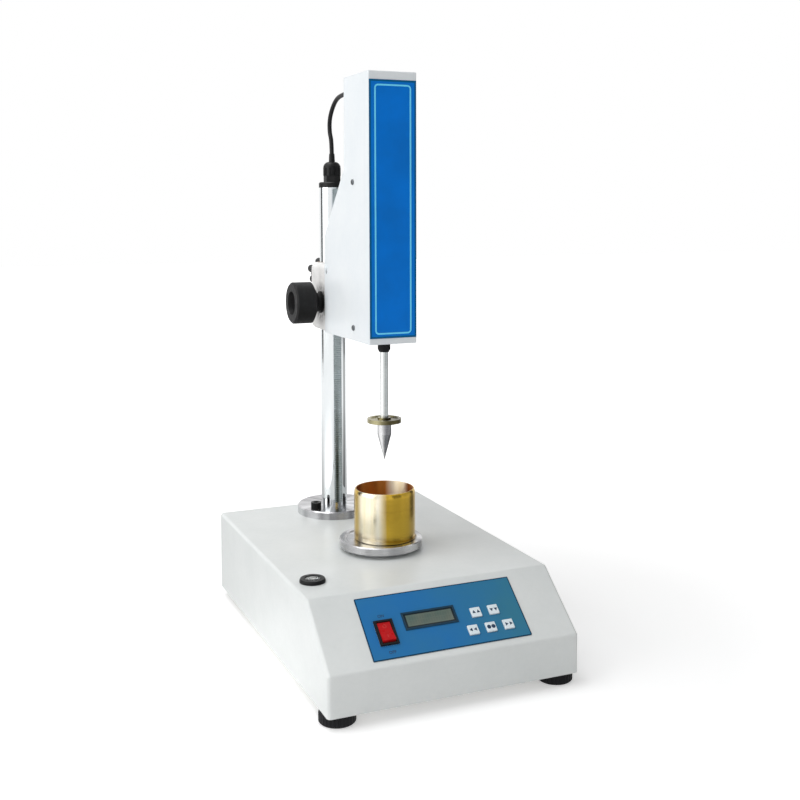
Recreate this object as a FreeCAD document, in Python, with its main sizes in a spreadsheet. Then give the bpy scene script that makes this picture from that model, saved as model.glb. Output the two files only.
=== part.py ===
"""Cone penetrometer for the liquid and plastic limits of soil, in millimetres.

The origin is on the floor, under the middle of the base. +X is to the right, -Y is the operator's side, +Z is up.
Each sub-part is one object of the document, and is written to parts/ under its label.
"""

import FreeCAD
import Part
import Sketcher
import math
import os
import re

# ---------------------------------------------------------------------------------------------------------------------
# Driving dimensions: name, value and meaning. They fill the sheet, and every sub-part reads them from there.
# ---------------------------------------------------------------------------------------------------------------------

SIZES = (
    # Base casing
    ("base_width", 213.0, "base casing, side to side"),
    ("base_length", 319.2, "base casing, front to back"),
    ("base_height", 73.7, "base casing, underside to flat top"),
    ("base_front_height", 31.9, "height of the front wall under the slope"),
    ("slope_run", 51.4, "the slope's run from the front wall to the flat top"),
    ("underside_height", 8.8, "clear height under the casing"),
    ("base_wall", 1.5, "sheet of the base casing"),
    ("bend_radius", 3.0, "outer radius of the casing's bends"),
    ("lip_width", 12.0, "turned-in lip round the casing's underside"),
    ("bottom_plate_thickness", 1.5, "sheet of the bottom plate"),
    ("sheet_gap", 0.3, "gap round a plate that is let into a casing"),
    ("vent_length", 30.0, "cooling slot in the bottom plate"),
    ("vent_width", 3.0, "cooling slot in the bottom plate"),
    ("vent_pitch", 9.0, "spacing of the cooling slots"),
    ("vent_count", 6, "cooling slots in a row"),
    # Bottom screws
    ("screw_radius", 2.0, "shank of a bottom screw"),
    ("screw_head_radius", 3.8, "head of a bottom screw"),
    ("screw_head_height", 2.2, "head of a bottom screw"),
    ("screw_length", 7.0, "shank of a bottom screw"),
    ("screw_slot_width", 1.0, "driver slot across a screw head"),
    ("screw_slot_depth", 1.1, "driver slot across a screw head"),
    ("screw_clearance", 0.3, "radial clearance of a plain screw hole"),
    ("thread_clearance", 0.05, "radial clearance of a tapped hole round its screw"),
    ("screw_spacing", 118.0, "bottom screws along a side"),
    # Levelling feet
    ("foot_inset_side", 12.7, "foot axis from the casing's side"),
    ("foot_inset_end", 15.3, "foot axis from the casing's end"),
    ("foot_radius", 14.3, "knurled disc of a foot"),
    ("foot_height", 8.4, "knurled disc of a foot"),
    ("foot_chamfer", 1.0, "edges of a foot"),
    ("foot_groove_radius", 1.0, "grip groove of a foot"),
    ("foot_groove_count", 28, "grip grooves of a foot"),
    ("foot_stud_radius", 4.0, "levelling screw"),
    ("foot_stud_length", 15.0, "levelling screw above its disc"),
    ("foot_nut_flats", 13.0, "weld nut, across flats"),
    ("foot_nut_height", 6.5, "weld nut"),
    # Bubble level
    ("bubble_inset", 18.5, "bubble level, from the casing's side"),
    ("bubble_setback", 36.7, "bubble level, behind the top bend"),
    ("bubble_radius", 10.6, "outer radius of its ring"),
    ("bubble_height", 3.0, "ring above the casing"),
    ("bubble_vial_radius", 6.4, "clear vial in the ring"),
    ("bubble_body_depth", 7.0, "vial body below the casing's top"),
    ("bubble_dome_height", 0.8, "rise of the vial's domed top"),
    # Control panel
    ("panel_width", 135.0, "printed overlay on the slope"),
    ("panel_height", 54.0, "printed overlay, down the slope"),
    ("panel_centre_x", -1.2, "overlay's centre from the middle"),
    ("panel_drop", 33.4, "overlay's centre, down the slope from the top bend"),
    ("panel_thickness", 0.5, "printed overlay"),
    ("panel_corner", 0.8, "overlay's corner radius"),
    ("panel_cut_depth", 4.0, "depth of cut-outs through the slope"),
    # Display
    ("display_width", 45.2, "display bezel"),
    ("display_height", 15.2, "display bezel, down the slope"),
    ("display_centre_x", -12.8, "display's centre from the middle"),
    ("display_drop", 31.9, "display's centre, down the slope"),
    ("display_frame", 1.5, "width of the bezel's frame"),
    ("display_rise", 0.6, "bezel above the overlay"),
    ("display_glass_thickness", 1.1, "glass in the bezel"),
    ("display_glass_recess", 0.3, "glass below the bezel's face"),
    # Keys
    ("key_width", 8.6, "key cap"),
    ("key_height", 8.2, "key cap, down the slope"),
    ("key_pitch", 15.5, "key spacing in a row"),
    ("key_row_pitch", 14.5, "distance between the two rows of keys"),
    ("key_centre_x", 34.4, "middle key's centre"),
    ("key_drop", 48.2, "lower row's centre, down the slope"),
    ("key_rise", 1.6, "key cap above the casing's slope"),
    ("key_gap", 0.3, "gap round a key cap"),
    ("key_edge", 0.5, "rounded edge of a key cap"),
    ("key_flange", 1.0, "flange that keeps a key in"),
    ("key_flange_thickness", 1.0, "flange that keeps a key in"),
    ("key_travel", 0.6, "how far a key goes down"),
    # Panel board
    ("board_width", 112.0, "circuit board behind the slope"),
    ("board_height", 38.0, "circuit board, down the slope"),
    ("board_centre_x", 12.0, "board's centre from the middle"),
    ("board_drop", 35.5, "board's centre, down the slope"),
    ("board_depth", 7.6, "board's face below the casing's slope"),
    ("board_thickness", 1.6, "any circuit board"),
    ("board_post_radius", 2.5, "spacer post of a board"),
    ("board_post_inset", 4.0, "spacer post from a board's edge"),
    ("tact_width", 6.0, "key switch on the board"),
    ("tact_gap", 0.3, "key switch below a key that is pressed right down"),
    ("display_module_gap", 0.3, "display module below the glass"),
    # Power switch
    ("switch_width", 15.2, "rocker switch flange"),
    ("switch_height", 21.0, "rocker switch flange, down the slope"),
    ("switch_centre_x", -51.6, "switch's centre from the middle"),
    ("switch_drop", 38.4, "switch's centre, down the slope"),
    ("switch_rise", 1.8, "flange above the casing's slope"),
    ("switch_body_width", 13.6, "switch body behind the slope"),
    ("switch_body_height", 20.2, "switch body, down the slope"),
    ("switch_body_depth", 14.0, "switch body below the slope"),
    ("switch_wall", 1.1, "wall round the rocker's well"),
    ("switch_well_depth", 6.0, "well that the rocker tilts in"),
    ("switch_tab_length", 6.0, "contact blades at the back"),
    ("switch_tab_width", 4.8, "contact blades at the back"),
    ("switch_tab_thickness", 0.8, "contact blades at the back"),
    ("switch_tab_spacing", 7.0, "contact blades at the back"),
    ("rocker_gap", 0.35, "gap between rocker and well"),
    ("rocker_pivot_depth", 1.5, "rocker's pivot below the slope"),
    ("rocker_ridge", 3.0, "height of the rocker's middle above its pivot"),
    ("rocker_horn", 3.6, "height of the rocker's ends above its pivot"),
    ("rocker_belly", 2.0, "depth of the rocker below its pivot"),
    ("rocker_tilt", 8.0, "tilt of the rocker to either side"),
    # Boards and transformer inside the base
    ("main_board_width", 120.0, "main circuit board"),
    ("main_board_length", 90.0, "main circuit board"),
    ("main_board_inset", 76.5, "main board's centre, from the casing's left side"),
    ("main_board_y", -20.0, "main board's centre, from the middle"),
    ("main_board_lift", 8.0, "main board's spacer posts"),
    ("chip_width", 22.0, "controller chip"),
    ("chip_height", 3.0, "controller chip"),
    ("capacitor_radius", 8.0, "smoothing capacitor"),
    ("capacitor_height", 25.0, "smoothing capacitor"),
    ("transformer_width", 48.0, "transformer core"),
    ("transformer_length", 40.0, "transformer core"),
    ("transformer_height", 40.0, "transformer core"),
    ("transformer_inset", 48.5, "transformer's centre, from the casing's right side"),
    ("transformer_y", 70.0, "transformer's centre, from the middle"),
    ("transformer_coil_overhang", 7.0, "coil beyond the core at either end"),
    ("transformer_foot", 8.0, "fixing flange beyond the core"),
    ("transformer_foot_thickness", 2.0, "fixing flange"),
    # Mains inlet
    ("inlet_inset", 44.5, "mains inlet's centre, from the casing's right side"),
    ("inlet_height", 26.0, "mains inlet's centre above the underside"),
    ("inlet_width", 24.6, "mains inlet's socket"),
    ("inlet_tall", 16.6, "mains inlet's socket"),
    ("inlet_wall", 2.0, "mains inlet's moulding"),
    ("inlet_depth", 18.0, "mains inlet's socket"),
    ("inlet_flange", 8.0, "fixing ears either side of the socket"),
    ("inlet_flange_thickness", 2.5, "fixing ears"),
    ("pin_width", 2.0, "mains pin"),
    ("pin_tall", 4.0, "mains pin"),
    ("pin_spacing", 7.0, "live to earth pin"),
    ("pin_offset", 2.0, "earth pin above the other two"),
    ("pin_recess", 5.5, "pin tips below the socket's face"),
    # Cup and tray
    ("spindle_reach", 131.9, "spindle axis in front of the column axis"),
    ("stage_x", -3.7, "tray's axis from the middle"),
    ("stage_margin", 4.6, "tray's recess, beyond the cup's radius"),
    ("stage_thickness", 7.1, "tray"),
    ("stage_foot_radius", 24.0, "boss under the tray"),
    ("stage_foot_height", 3.0, "boss under the tray"),
    ("stage_rim", 5.0, "flat rim round the tray's recess"),
    ("stage_recess", 1.0, "tray's recess"),
    ("stage_chamfer", 0.8, "edges of the tray"),
    ("stage_stud_radius", 6.0, "threaded stud under the tray"),
    ("stage_stud_length", 14.0, "threaded stud under the tray"),
    ("stage_nut_flats", 19.0, "nut under the tray"),
    ("stage_nut_height", 7.0, "nut under the tray"),
    ("stage_washer_radius", 14.0, "washer over the nut"),
    ("stage_washer_thickness", 2.0, "washer over the nut"),
    ("cup_radius", 27.0, "sample cup, outside"),
    ("cup_wall", 2.0, "sample cup's wall"),
    ("cup_height", 44.3, "sample cup"),
    ("cup_floor", 4.3, "sample cup's floor"),
    ("cup_seat_gap", 0.2, "cup above the tray's recess"),
    ("cup_rim_height", 5.0, "tapered outside of the cup's rim"),
    ("cup_rim_taper", 1.2, "taper of the same, inwards"),
    ("cup_lip", 0.3, "chamfer inside the cup's rim"),
    ("cup_corner", 1.0, "corner of the cup's base"),
    # Column
    ("column_inset", 37.5, "column axis from the casing's rear"),
    ("column_radius", 12.5, "column tube"),
    ("column_wall", 3.0, "column tube"),
    ("column_height", 319.4, "column tube above the casing"),
    ("flange_radius", 36.2, "column flange"),
    ("flange_thickness", 7.5, "column flange"),
    ("flange_chamfer", 1.0, "upper edge of the flange"),
    ("flange_fit", 0.03, "radial clearance of the tube in its flange"),
    ("flange_bolt_circle", 26.0, "radius of the flange's screw circle"),
    ("flange_bolt_turn", 207.0, "angle of the first flange screw"),
    ("flange_bolt_radius", 3.0, "flange screw"),
    ("flange_bolt_head_radius", 5.0, "flange screw's head"),
    ("flange_bolt_head_height", 6.0, "flange screw's head"),
    ("flange_bolt_socket", 5.0, "flange screw's hexagon, across flats"),
    ("flange_bolt_socket_depth", 3.0, "flange screw's hexagon"),
    ("backing_thickness", 5.0, "plate under the casing's top that carries the column"),
    ("backing_width", 80.0, "the same plate"),
    ("backing_length", 68.0, "the same plate"),
    ("backing_shift", -3.0, "the same plate, forward of the column"),
    ("cable_hole_radius", 7.0, "cable hole under the column"),
    # Rack and pinion
    ("gear_module", 0.6, "tooth size of rack and pinion"),
    ("pinion_teeth", 40, "pinion"),
    ("gear_thinning", 0.14, "taken off a tooth for backlash"),
    ("gear_root_clearance", 0.25, "tip to root, in modules"),
    ("pressure_angle", 20.0, "tooth flank"),
    ("pinion_width", 8.0, "pinion"),
    ("rack_width", 8.0, "rack"),
    ("rack_depth", 3.0, "rack, tooth tip to back"),
    ("rack_start", 10.9, "rack's lower end above the casing"),
    ("rack_end", 1.0, "least distance from the rack to the column's top"),
    ("rack_fit", 0.05, "gap between the rack and its slot"),
    ("rack_inset", 0.5, "rack's pitch line inside the column's surface"),
    # Column cap, gland and cable
    ("cap_radius", 12.8, "column cap"),
    ("cap_height", 5.2, "column cap"),
    ("cap_plug_depth", 6.0, "cap's plug in the tube"),
    ("cap_chamfer", 1.0, "cap's upper edge"),
    ("gland_thread_radius", 5.0, "gland's thread in the cap"),
    ("gland_flats", 14.4, "gland body, across flats"),
    ("gland_height", 6.2, "gland body's hexagon"),
    ("gland_neck_radius", 6.2, "gland body's neck"),
    ("gland_neck_height", 3.0, "gland body's neck inside the nut"),
    ("gland_nut_radius", 8.5, "gland's dome nut"),
    ("gland_nut_height", 13.5, "gland's dome nut"),
    ("gland_nut_dome", 6.0, "gland's dome nut, domed part"),
    ("gland_nut_ribs", 12, "grip grooves of the dome nut"),
    ("gland_rib_radius", 0.8, "one grip groove"),
    ("gland_tail_radius", 3.0, "bend guard at its foot"),
    ("gland_tail_tip_radius", 2.6, "bend guard at its tip"),
    ("gland_tail_height", 7.7, "bend guard"),
    ("cable_radius", 2.1, "head cable"),
    ("cable_share", 0.45, "share of a run that an arc takes"),
    ("cable_end_gap", 0.9, "cable's end to the grommet, along the middle"),
    ("grommet_drop", 15.6, "cable's entry below the head's top"),
    ("grommet_radius", 5.0, "grommet's flange in the back cover"),
    ("grommet_neck_radius", 3.9, "grommet's neck"),
    ("grommet_flange", 1.5, "grommet's flange thickness"),
    ("grommet_clearance", 0.3, "radial clearance round the cable in the grommet"),
    # Carriage
    ("carriage_drop", 0.5, "carriage's lower face below the head's lower edge"),
    ("carriage_height", 64.6, "carriage"),
    ("carriage_edge", 6.0, "rounded ends of the sleeve"),
    ("carriage_gap", 0.2, "gap between the carriage's tongue and the head's sheet"),
    ("tongue_length", 23.0, "carriage's tongue between the side plates"),
    ("tongue_drop", 1.0, "tongue's top below the sleeve's"),
    ("bush_wall", 2.45, "wall of a carriage bush"),
    ("bush_height", 8.0, "carriage bush"),
    ("running_clearance", 0.05, "radial clearance of a running fit"),
    ("keyway_clearance", 0.6, "carriage to rack"),
    ("knob_rise", 27.1, "pinion axis above the head's lower edge"),
    ("pinion_pocket_clearance", 0.4, "carriage to pinion"),
    ("pinion_cap_thickness", 8.0, "cap that closes the pinion's pocket"),
    ("pinion_cap_wall", 1.0, "cap's outer wall beyond the shaft's end"),
    ("pinion_cap_fit", 0.05, "radial clearance of the cap in the pocket"),
    ("shaft_radius", 4.0, "pinion shaft"),
    ("collar_radius", 10.3, "collar's disc on the carriage"),
    ("collar_thickness", 1.6, "collar's disc on the carriage"),
    ("collar_neck_radius", 8.5, "collar's neck"),
    ("collar_neck_length", 3.6, "collar's neck"),
    # Lift knob
    ("knob_radius", 19.6, "lift knob"),
    ("knob_length", 24.0, "lift knob"),
    ("knob_gap", 0.3, "lift knob to its collar"),
    ("knob_hub_radius", 10.0, "lift knob's inner end"),
    ("knob_taper", 5.5, "lift knob's tapered inner end"),
    ("knob_edge", 1.5, "lift knob's outer edge"),
    ("knob_recess_radius", 10.0, "hollow in the lift knob's face"),
    ("knob_recess_depth", 4.5, "hollow in the lift knob's face"),
    ("knob_recess_draft", 1.2, "slope of the hollow's wall"),
    ("knob_bore_depth", 17.0, "shaft bore in the lift knob"),
    ("knob_bore_clearance", 0.02, "radial clearance of the shaft in the knob"),
    # Lock knob
    ("lock_rise", 52.6, "lock knob's axis above the head's lower edge"),
    ("lock_radius", 14.3, "lock knob over its lobes"),
    ("lock_core_radius", 10.4, "lock knob between its lobes"),
    ("lock_lobes", 6, "lock knob"),
    ("lock_lobe_radius", 3.9, "one lobe"),
    ("lock_first_lobe", 100.0, "angle of the first lobe"),
    ("lock_thickness", 12.2, "lock knob's head"),
    ("lock_hub_radius", 7.5, "lock knob's hub"),
    ("lock_hub_length", 2.8, "lock knob's hub"),
    ("lock_edge", 1.2, "lock knob's rounded face"),
    ("lock_gap", 1.6, "hub to carriage when loose"),
    ("lock_screw_radius", 3.0, "lock screw"),
    ("lock_tip_gap", 0.3, "lock screw's tip to the column when loose"),
    # Head housing
    ("head_width", 44.0, "head, side to side"),
    ("head_nose", 21.2, "head's front face in front of the spindle axis"),
    ("head_depth", 59.0, "head's upper part, front to back"),
    ("head_rest", 183.2, "head's lower edge above the casing at rest"),
    ("head_height", 230.4, "head"),
    ("head_wall", 1.5, "sheet of the head"),
    ("head_bend", 1.0, "outer radius of the head's bends"),
    ("arm_gap", 39.1, "rear edge of the side plates in front of the column axis"),
    ("arm_top", 90.4, "side plates' rear corner above the head's lower edge"),
    ("arm_shoulder", 151.6, "start of the side plates' slant above the head's lower edge"),
    ("cover_thickness", 1.2, "back cover"),
    ("cover_inset", 0.8, "back cover inside the side plates' edge"),
    ("head_plate_thickness", 2.0, "bottom plate of the head"),
    ("label_height", 217.9, "label on the head's front"),
    ("label_bottom", 5.3, "label above the head's lower edge"),
    ("label_margin", 0.5, "label to the head's side"),
    ("label_thickness", 0.4, "label"),
    ("side_screw_radius", 1.5, "side screw"),
    ("side_screw_head_radius", 2.5, "side screw's head"),
    ("side_screw_head_height", 1.4, "side screw's head"),
    ("side_screw_length", 6.0, "side screw"),
    ("side_screw_setback", 3.5, "frame's side screws in front of its web"),
    ("side_screw_upper", 138.6, "upper side screw above the head's lower edge"),
    ("side_screw_lower", 11.3, "lower side screw above the head's lower edge"),
    ("rear_screw_inset", 5.0, "carriage's side screw from the side plates' rear edge"),
    ("rear_screw_rise", 56.7, "carriage's side screw above the head's lower edge"),
    # Inside the head
    ("frame_setback", 19.8, "frame's web behind the spindle axis"),
    ("frame_thickness", 2.0, "frame's sheet"),
    ("frame_flange", 9.0, "frame's side flanges"),
    ("frame_shelf_length", 34.0, "frame's top shelf, forward of the web"),
    ("shelf_drop", 31.6, "frame's top shelf below the head's top"),
    ("head_board_width", 34.0, "sensor board"),
    ("head_board_length", 90.0, "sensor board"),
    ("head_board_rise", 84.3, "sensor board above the head's lower edge"),
    ("head_board_lift", 3.0, "sensor board's spacer posts"),
    ("spindle_bush_radius", 5.6, "black bush under the head"),
    ("spindle_bush_drop", 9.0, "bush's lower end below the head's lower edge"),
    ("spindle_bush_length", 19.3, "bush"),
    ("spindle_bush_taper", 2.6, "bush's tapered lower end"),
    ("spindle_bush_flange", 9.5, "bush's flange on the bottom plate"),
    ("spindle_bush_flange_thickness", 2.0, "bush's flange on the bottom plate"),
    ("spindle_radius", 3.7, "spindle rod"),
    ("guide_width", 26.0, "upper guide block"),
    ("guide_front", 12.0, "upper guide block forward of the spindle axis"),
    ("guide_rise", 60.3, "upper guide block above the head's lower edge"),
    ("guide_height", 16.0, "upper guide block"),
    ("stop_gap", 0.3, "stop collar above the guide at rest"),
    ("stop_radius", 8.0, "stop collar"),
    ("stop_height", 8.0, "stop collar"),
    ("stop_arm", 13.0, "stop collar's arm to the scale"),
    ("stop_arm_width", 6.0, "stop collar's arm"),
    ("stop_fit", 0.02, "radial clearance of pieces fixed on the rod"),
    ("scale_x", 11.2, "scale's middle plane from the spindle axis"),
    ("scale_thickness", 1.5, "scale"),
    ("armature_radius", 9.0, "armature"),
    ("armature_height", 4.0, "armature"),
    ("spindle_travel", 30.0, "spindle's travel up to the magnet"),
    ("magnet_gap", 0.5, "armature to magnet when raised"),
    ("magnet_radius", 12.5, "electromagnet"),
    ("magnet_height", 28.0, "electromagnet"),
    ("sensor_gap", 3.7, "displacement sensor above the raised collar"),
    ("sensor_height", 14.0, "displacement sensor"),
    ("sensor_width", 9.6, "displacement sensor"),
    ("sensor_front", 4.0, "displacement sensor forward of the spindle axis"),
    ("sensor_slot", 2.4, "displacement sensor's slot"),
    # Balance disc and cone
    ("disc_radius", 15.0, "balance disc"),
    ("disc_height", 3.6, "balance disc's rim"),
    ("disc_drop", 71.2, "balance disc's underside below the head's lower edge"),
    ("disc_rim", 2.6, "balance disc's rim"),
    ("disc_recess", 1.0, "balance disc's recess"),
    ("disc_hub_radius", 5.9, "balance disc's hub"),
    ("disc_hub_rise", 1.8, "hub above the rim"),
    ("disc_hub_drop", 0.3, "hub below the disc"),
    ("disc_bore_depth", 3.4, "rod's seat in the hub"),
    ("cone_radius", 6.2, "cone at its shoulder"),
    ("cone_half_angle", 15.0, "cone's half angle"),
    ("cone_shoulder", 10.2, "straight part above the cone"),
    ("cone_chamfer", 0.6, "cone's upper edge"),
)

# Parts of the mechanism that come in loops: screws along a side, feet, keys.
FEET = (
    ("foot_front_left", "-(base_width / 2 - foot_inset_side)", "-(base_length / 2 - foot_inset_end)"),
    ("foot_front_right", "base_width / 2 - foot_inset_side", "-(base_length / 2 - foot_inset_end)"),
    ("foot_rear", "0", "base_length / 2 - foot_inset_end"),
)
KEYS = (
    ("key_1", "key_centre_x - key_pitch / 2", "key_drop - key_row_pitch"),
    ("key_2", "key_centre_x + key_pitch / 2", "key_drop - key_row_pitch"),
    ("key_3", "key_centre_x - key_pitch", "key_drop"),
    ("key_4", "key_centre_x", "key_drop"),
    ("key_5", "key_centre_x + key_pitch", "key_drop"),
)
# The cable's route over the back of the head, from inside the bend guard to short of the grommet: Y from the column
# axis and Z from the guard's tip, chosen by hand. It lies in the plane of the column and the spindle.
CABLE_ROUTE = (
    (0.0, -7.7),
    (0.0, 12.0),
    (6.4, 21.5),
    (5.4, 36.0),
    (-11.0, 50.5),
    (-31.0, 54.0),
    (-64.0, 53.5),
)

# Places worked out from the driving dimensions, as expressions for the sheet.
TOP = "(underside_height + base_height)"
HALF_LENGTH = "(base_length / 2)"
BREAK_Y = "(slope_run - base_length / 2)"
SLOPE_DROP = "(base_height - base_front_height)"
SLOPE_LENGTH = f"sqrt({SLOPE_DROP} ^ 2 + slope_run ^ 2)"
SLOPE_ANGLE = f"atan({SLOPE_DROP} / slope_run)"
PLATE_TOP = "(underside_height + bottom_plate_thickness)"
INLET_X = "(base_width / 2 - inlet_inset)"
BUBBLE_X = "(bubble_inset - base_width / 2)"
BUBBLE_Y = f"({BREAK_Y} + bubble_setback)"
COLUMN_Y = "(base_length / 2 - column_inset)"
SPINDLE_Y = f"({COLUMN_Y} - spindle_reach)"
CUP_BORE = "(cup_radius - cup_wall)"
STAGE_RADIUS = "(cup_radius + stage_margin + stage_rim)"
CUP_BOTTOM = f"({TOP} + stage_foot_height + stage_thickness - stage_recess + cup_seat_gap)"
TUBE_BORE = "(column_radius - column_wall)"
RACK_PITCH = "(column_radius - rack_inset)"
RACK_TIP = f"({RACK_PITCH} + gear_module)"
RACK_TEETH = "floor((column_height - rack_start - rack_end) / (gear_module * pi))"
RACK_LENGTH = f"({RACK_TEETH} * gear_module * pi)"
PINION_TIP = "(gear_module * (pinion_teeth / 2 + 1))"
COLUMN_TOP = f"({TOP} + column_height)"
CAP_TOP = f"({COLUMN_TOP} + cap_height)"
GLAND_TOP = f"({CAP_TOP} + gland_height)"
TAIL_TOP = f"({GLAND_TOP} + gland_nut_height + gland_tail_height)"
HEAD_BOTTOM = f"({TOP} + head_rest)"
HEAD_TOP = f"({HEAD_BOTTOM} + head_height)"
HEAD_INSIDE = "(head_width / 2 - head_wall)"
HEAD_FRONT = f"({SPINDLE_Y} - head_nose)"
HEAD_REAR = f"({HEAD_FRONT} + head_depth)"
ARM_REAR = f"({COLUMN_Y} - arm_gap)"
ARM_RUN = f"({ARM_REAR} - {HEAD_REAR})"
ARM_RISE = "(arm_shoulder - arm_top)"
ARM_SHIFT = f"((sqrt({ARM_RUN} ^ 2 + {ARM_RISE} ^ 2) - {ARM_RISE}) / {ARM_RUN})"
HEAD_PLATE_TOP = f"({HEAD_BOTTOM} + carriage_gap + head_plate_thickness)"
CARRIAGE_BOTTOM = f"({HEAD_BOTTOM} - carriage_drop)"
CARRIAGE_TOP = f"({CARRIAGE_BOTTOM} + carriage_height)"
BUSH_OUTER = "(column_radius + running_clearance + bush_wall)"
KNOB_Y = f"({COLUMN_Y} - {RACK_PITCH} - gear_module * pinion_teeth / 2)"
KNOB_Z = f"({HEAD_BOTTOM} + knob_rise)"
KNOB_INNER_X = f"({HEAD_INSIDE} + collar_thickness + collar_neck_length + knob_gap)"
LOCK_Z = f"({HEAD_BOTTOM} + lock_rise)"
FRAME_Y = f"({SPINDLE_Y} + frame_setback)"
SHELF_TOP = f"({HEAD_TOP} - shelf_drop)"
MAGNET_TOP = f"({SHELF_TOP} - frame_thickness)"
ARMATURE_BOTTOM = f"({MAGNET_TOP} - magnet_height - magnet_gap - spindle_travel - armature_height)"
GUIDE_TOP = f"({HEAD_BOTTOM} + guide_rise + guide_height)"
STOP_TOP = f"({GUIDE_TOP} + stop_gap + stop_height)"
DISC_BOTTOM = f"({HEAD_BOTTOM} - disc_drop)"

DOCUMENT = FreeCAD.newDocument("cone_penetrometer")
SHEET = DOCUMENT.addObject("Spreadsheet::Sheet", "Sizes")
PARTS = []


def fill_sheet():
    """One row to a size: its name, its value under that alias, and its meaning."""
    for row, (alias, size, meaning) in enumerate(SIZES, start=1):
        SHEET.set(f"A{row}", alias)
        SHEET.set(f"B{row}", str(size))
        SHEET.set(f"C{row}", meaning)
        SHEET.setAlias(f"B{row}", alias)
    DOCUMENT.recompute()


ALIASES = {alias for alias, _, _ in SIZES}


def formula(text):
    """The expression with each named size written as a cell of the sheet."""
    return re.sub(r"[a-z][a-z_0-9]*", lambda word: f"Sizes.{word[0]}" if word[0] in ALIASES else word[0], text)


def size(alias):
    """A size as a number, for shapes that are worked out point by point."""
    return float(SHEET.get(alias))


# ---------------------------------------------------------------------------------------------------------------------
# Bodies, sketches and features
# ---------------------------------------------------------------------------------------------------------------------


def body(label):
    """A sub-part made of sketches and features."""
    made = DOCUMENT.addObject("PartDesign::Body", label)
    made.Label = label
    PARTS.append(made)
    return made


def place(made, x="0", y="0", z="0", axis=(0, 0, 1), angle="0"):
    """Put a sub-part at a point, turned about an axis by an angle, all bound to the sheet."""
    made.Placement = FreeCAD.Placement(FreeCAD.Vector(), FreeCAD.Rotation(FreeCAD.Vector(*axis), 1.0))
    for name, expression in (("Base.x", x), ("Base.y", y), ("Base.z", z), ("Rotation.Angle", angle)):
        made.setExpression(f"Placement.{name}", formula(expression))


def place_on_slope(made):
    """Put a sub-part in the slope's frame: X to the right, Y up the slope from its top bend, Z out of it."""
    place(made, "0", BREAK_Y, TOP, (1, 0, 0), SLOPE_ANGLE)


def origin_feature(owner, role):
    """One of a body's own origin planes or axes."""
    return next(feature for feature in owner.Origin.OriginFeatures if feature.Role == role)


def sketch(owner, plane="XY_Plane", lift="0"):
    """An empty sketch on one of the body's origin planes, lifted along the plane's normal."""
    drawn = owner.newObject("Sketcher::SketchObject", f"{owner.Name}_sketch")
    drawn.AttachmentSupport = [(origin_feature(owner, plane), "")]
    drawn.MapMode = "FlatFace"
    drawn.setExpression("AttachmentOffset.Base.z", formula(lift))
    return drawn


def slope_sketch(owner):
    """An empty sketch on the slope of a body that stands in the base's frame."""
    drawn = sketch(owner)
    drawn.AttachmentOffset = FreeCAD.Placement(FreeCAD.Vector(), FreeCAD.Rotation(FreeCAD.Vector(1, 0, 0), 1.0))
    drawn.setExpression("AttachmentOffset.Base.y", formula(BREAK_Y))
    drawn.setExpression("AttachmentOffset.Base.z", formula(TOP))
    drawn.setExpression("AttachmentOffset.Rotation.Angle", formula(SLOPE_ANGLE))
    return drawn


def pin_point(drawn, geometry, position, x, y):
    """Fix one point of a sketch at two expressions, measured from the sketch's origin."""
    for kind, expression, axis in (("DistanceX", x, -2), ("DistanceY", y, -1)):
        if expression == "0":
            drawn.addConstraint(Sketcher.Constraint("PointOnObject", geometry, position, axis))
        else:
            index = drawn.addConstraint(Sketcher.Constraint(kind, -1, 1, geometry, position, 1.0))
            drawn.setExpression(f"Constraints[{index}]", formula(expression))


def polygon(drawn, points):
    """A closed outline through points that are given as pairs of expressions."""
    count = len(points)
    first = drawn.GeometryCount
    ring = [FreeCAD.Vector(math.cos(math.tau * i / count), math.sin(math.tau * i / count), 0) for i in range(count)]
    for i in range(count):
        drawn.addGeometry(Part.LineSegment(ring[i], ring[(i + 1) % count]), False)
    for i in range(count):
        drawn.addConstraint(Sketcher.Constraint("Coincident", first + i, 2, first + (i + 1) % count, 1))
    for i, (x, y) in enumerate(points):
        pin_point(drawn, first + i, 1, x, y)


def rectangle(drawn, centre_x, centre_y, width, height):
    """A rectangle about a centre."""
    left = f"({centre_x}) - ({width}) / 2"
    right = f"({centre_x}) + ({width}) / 2"
    low = f"({centre_y}) - ({height}) / 2"
    high = f"({centre_y}) + ({height}) / 2"
    polygon(drawn, [(left, low), (right, low), (right, high), (left, high)])


def circle(drawn, x, y, radius):
    """A circle about a centre."""
    index = drawn.addGeometry(Part.Circle(FreeCAD.Vector(1, 1, 0), FreeCAD.Vector(0, 0, 1), 1.0), False)
    bound = drawn.addConstraint(Sketcher.Constraint("Radius", index, 1.0))
    drawn.setExpression(f"Constraints[{bound}]", formula(radius))
    pin_point(drawn, index, 3, x, y)


def hexagon(drawn, x, y, flats):
    """A hexagon about a centre, by its size across flats, with two flats square to X."""
    half = f"({flats}) / 2"
    near = f"({flats}) / (2 * sqrt(3))"
    far = f"({flats}) / sqrt(3)"
    corners = (("0", far), (f"-{half}", near), (f"-{half}", f"-{near}"), ("0", f"-{far}"), (half, f"-{near}"), (half, near))
    polygon(drawn, [(f"({x}) + ({dx})", f"({y}) + ({dy})") for dx, dy in corners])


def feature(owner, kind, drawn):
    """A feature of a body that is made from one sketch."""
    made = owner.newObject(f"PartDesign::{kind}", f"{owner.Name}_{kind.lower()}")
    made.Profile = drawn
    return made


def pad(owner, drawn, length, both_ways=False, downwards=False):
    """Raise a sketch into material."""
    made = feature(owner, "Pad", drawn)
    made.SideType = "Symmetric" if both_ways else "One side"
    made.Reversed = downwards
    made.setExpression("Length", formula(length))
    return made


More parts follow.
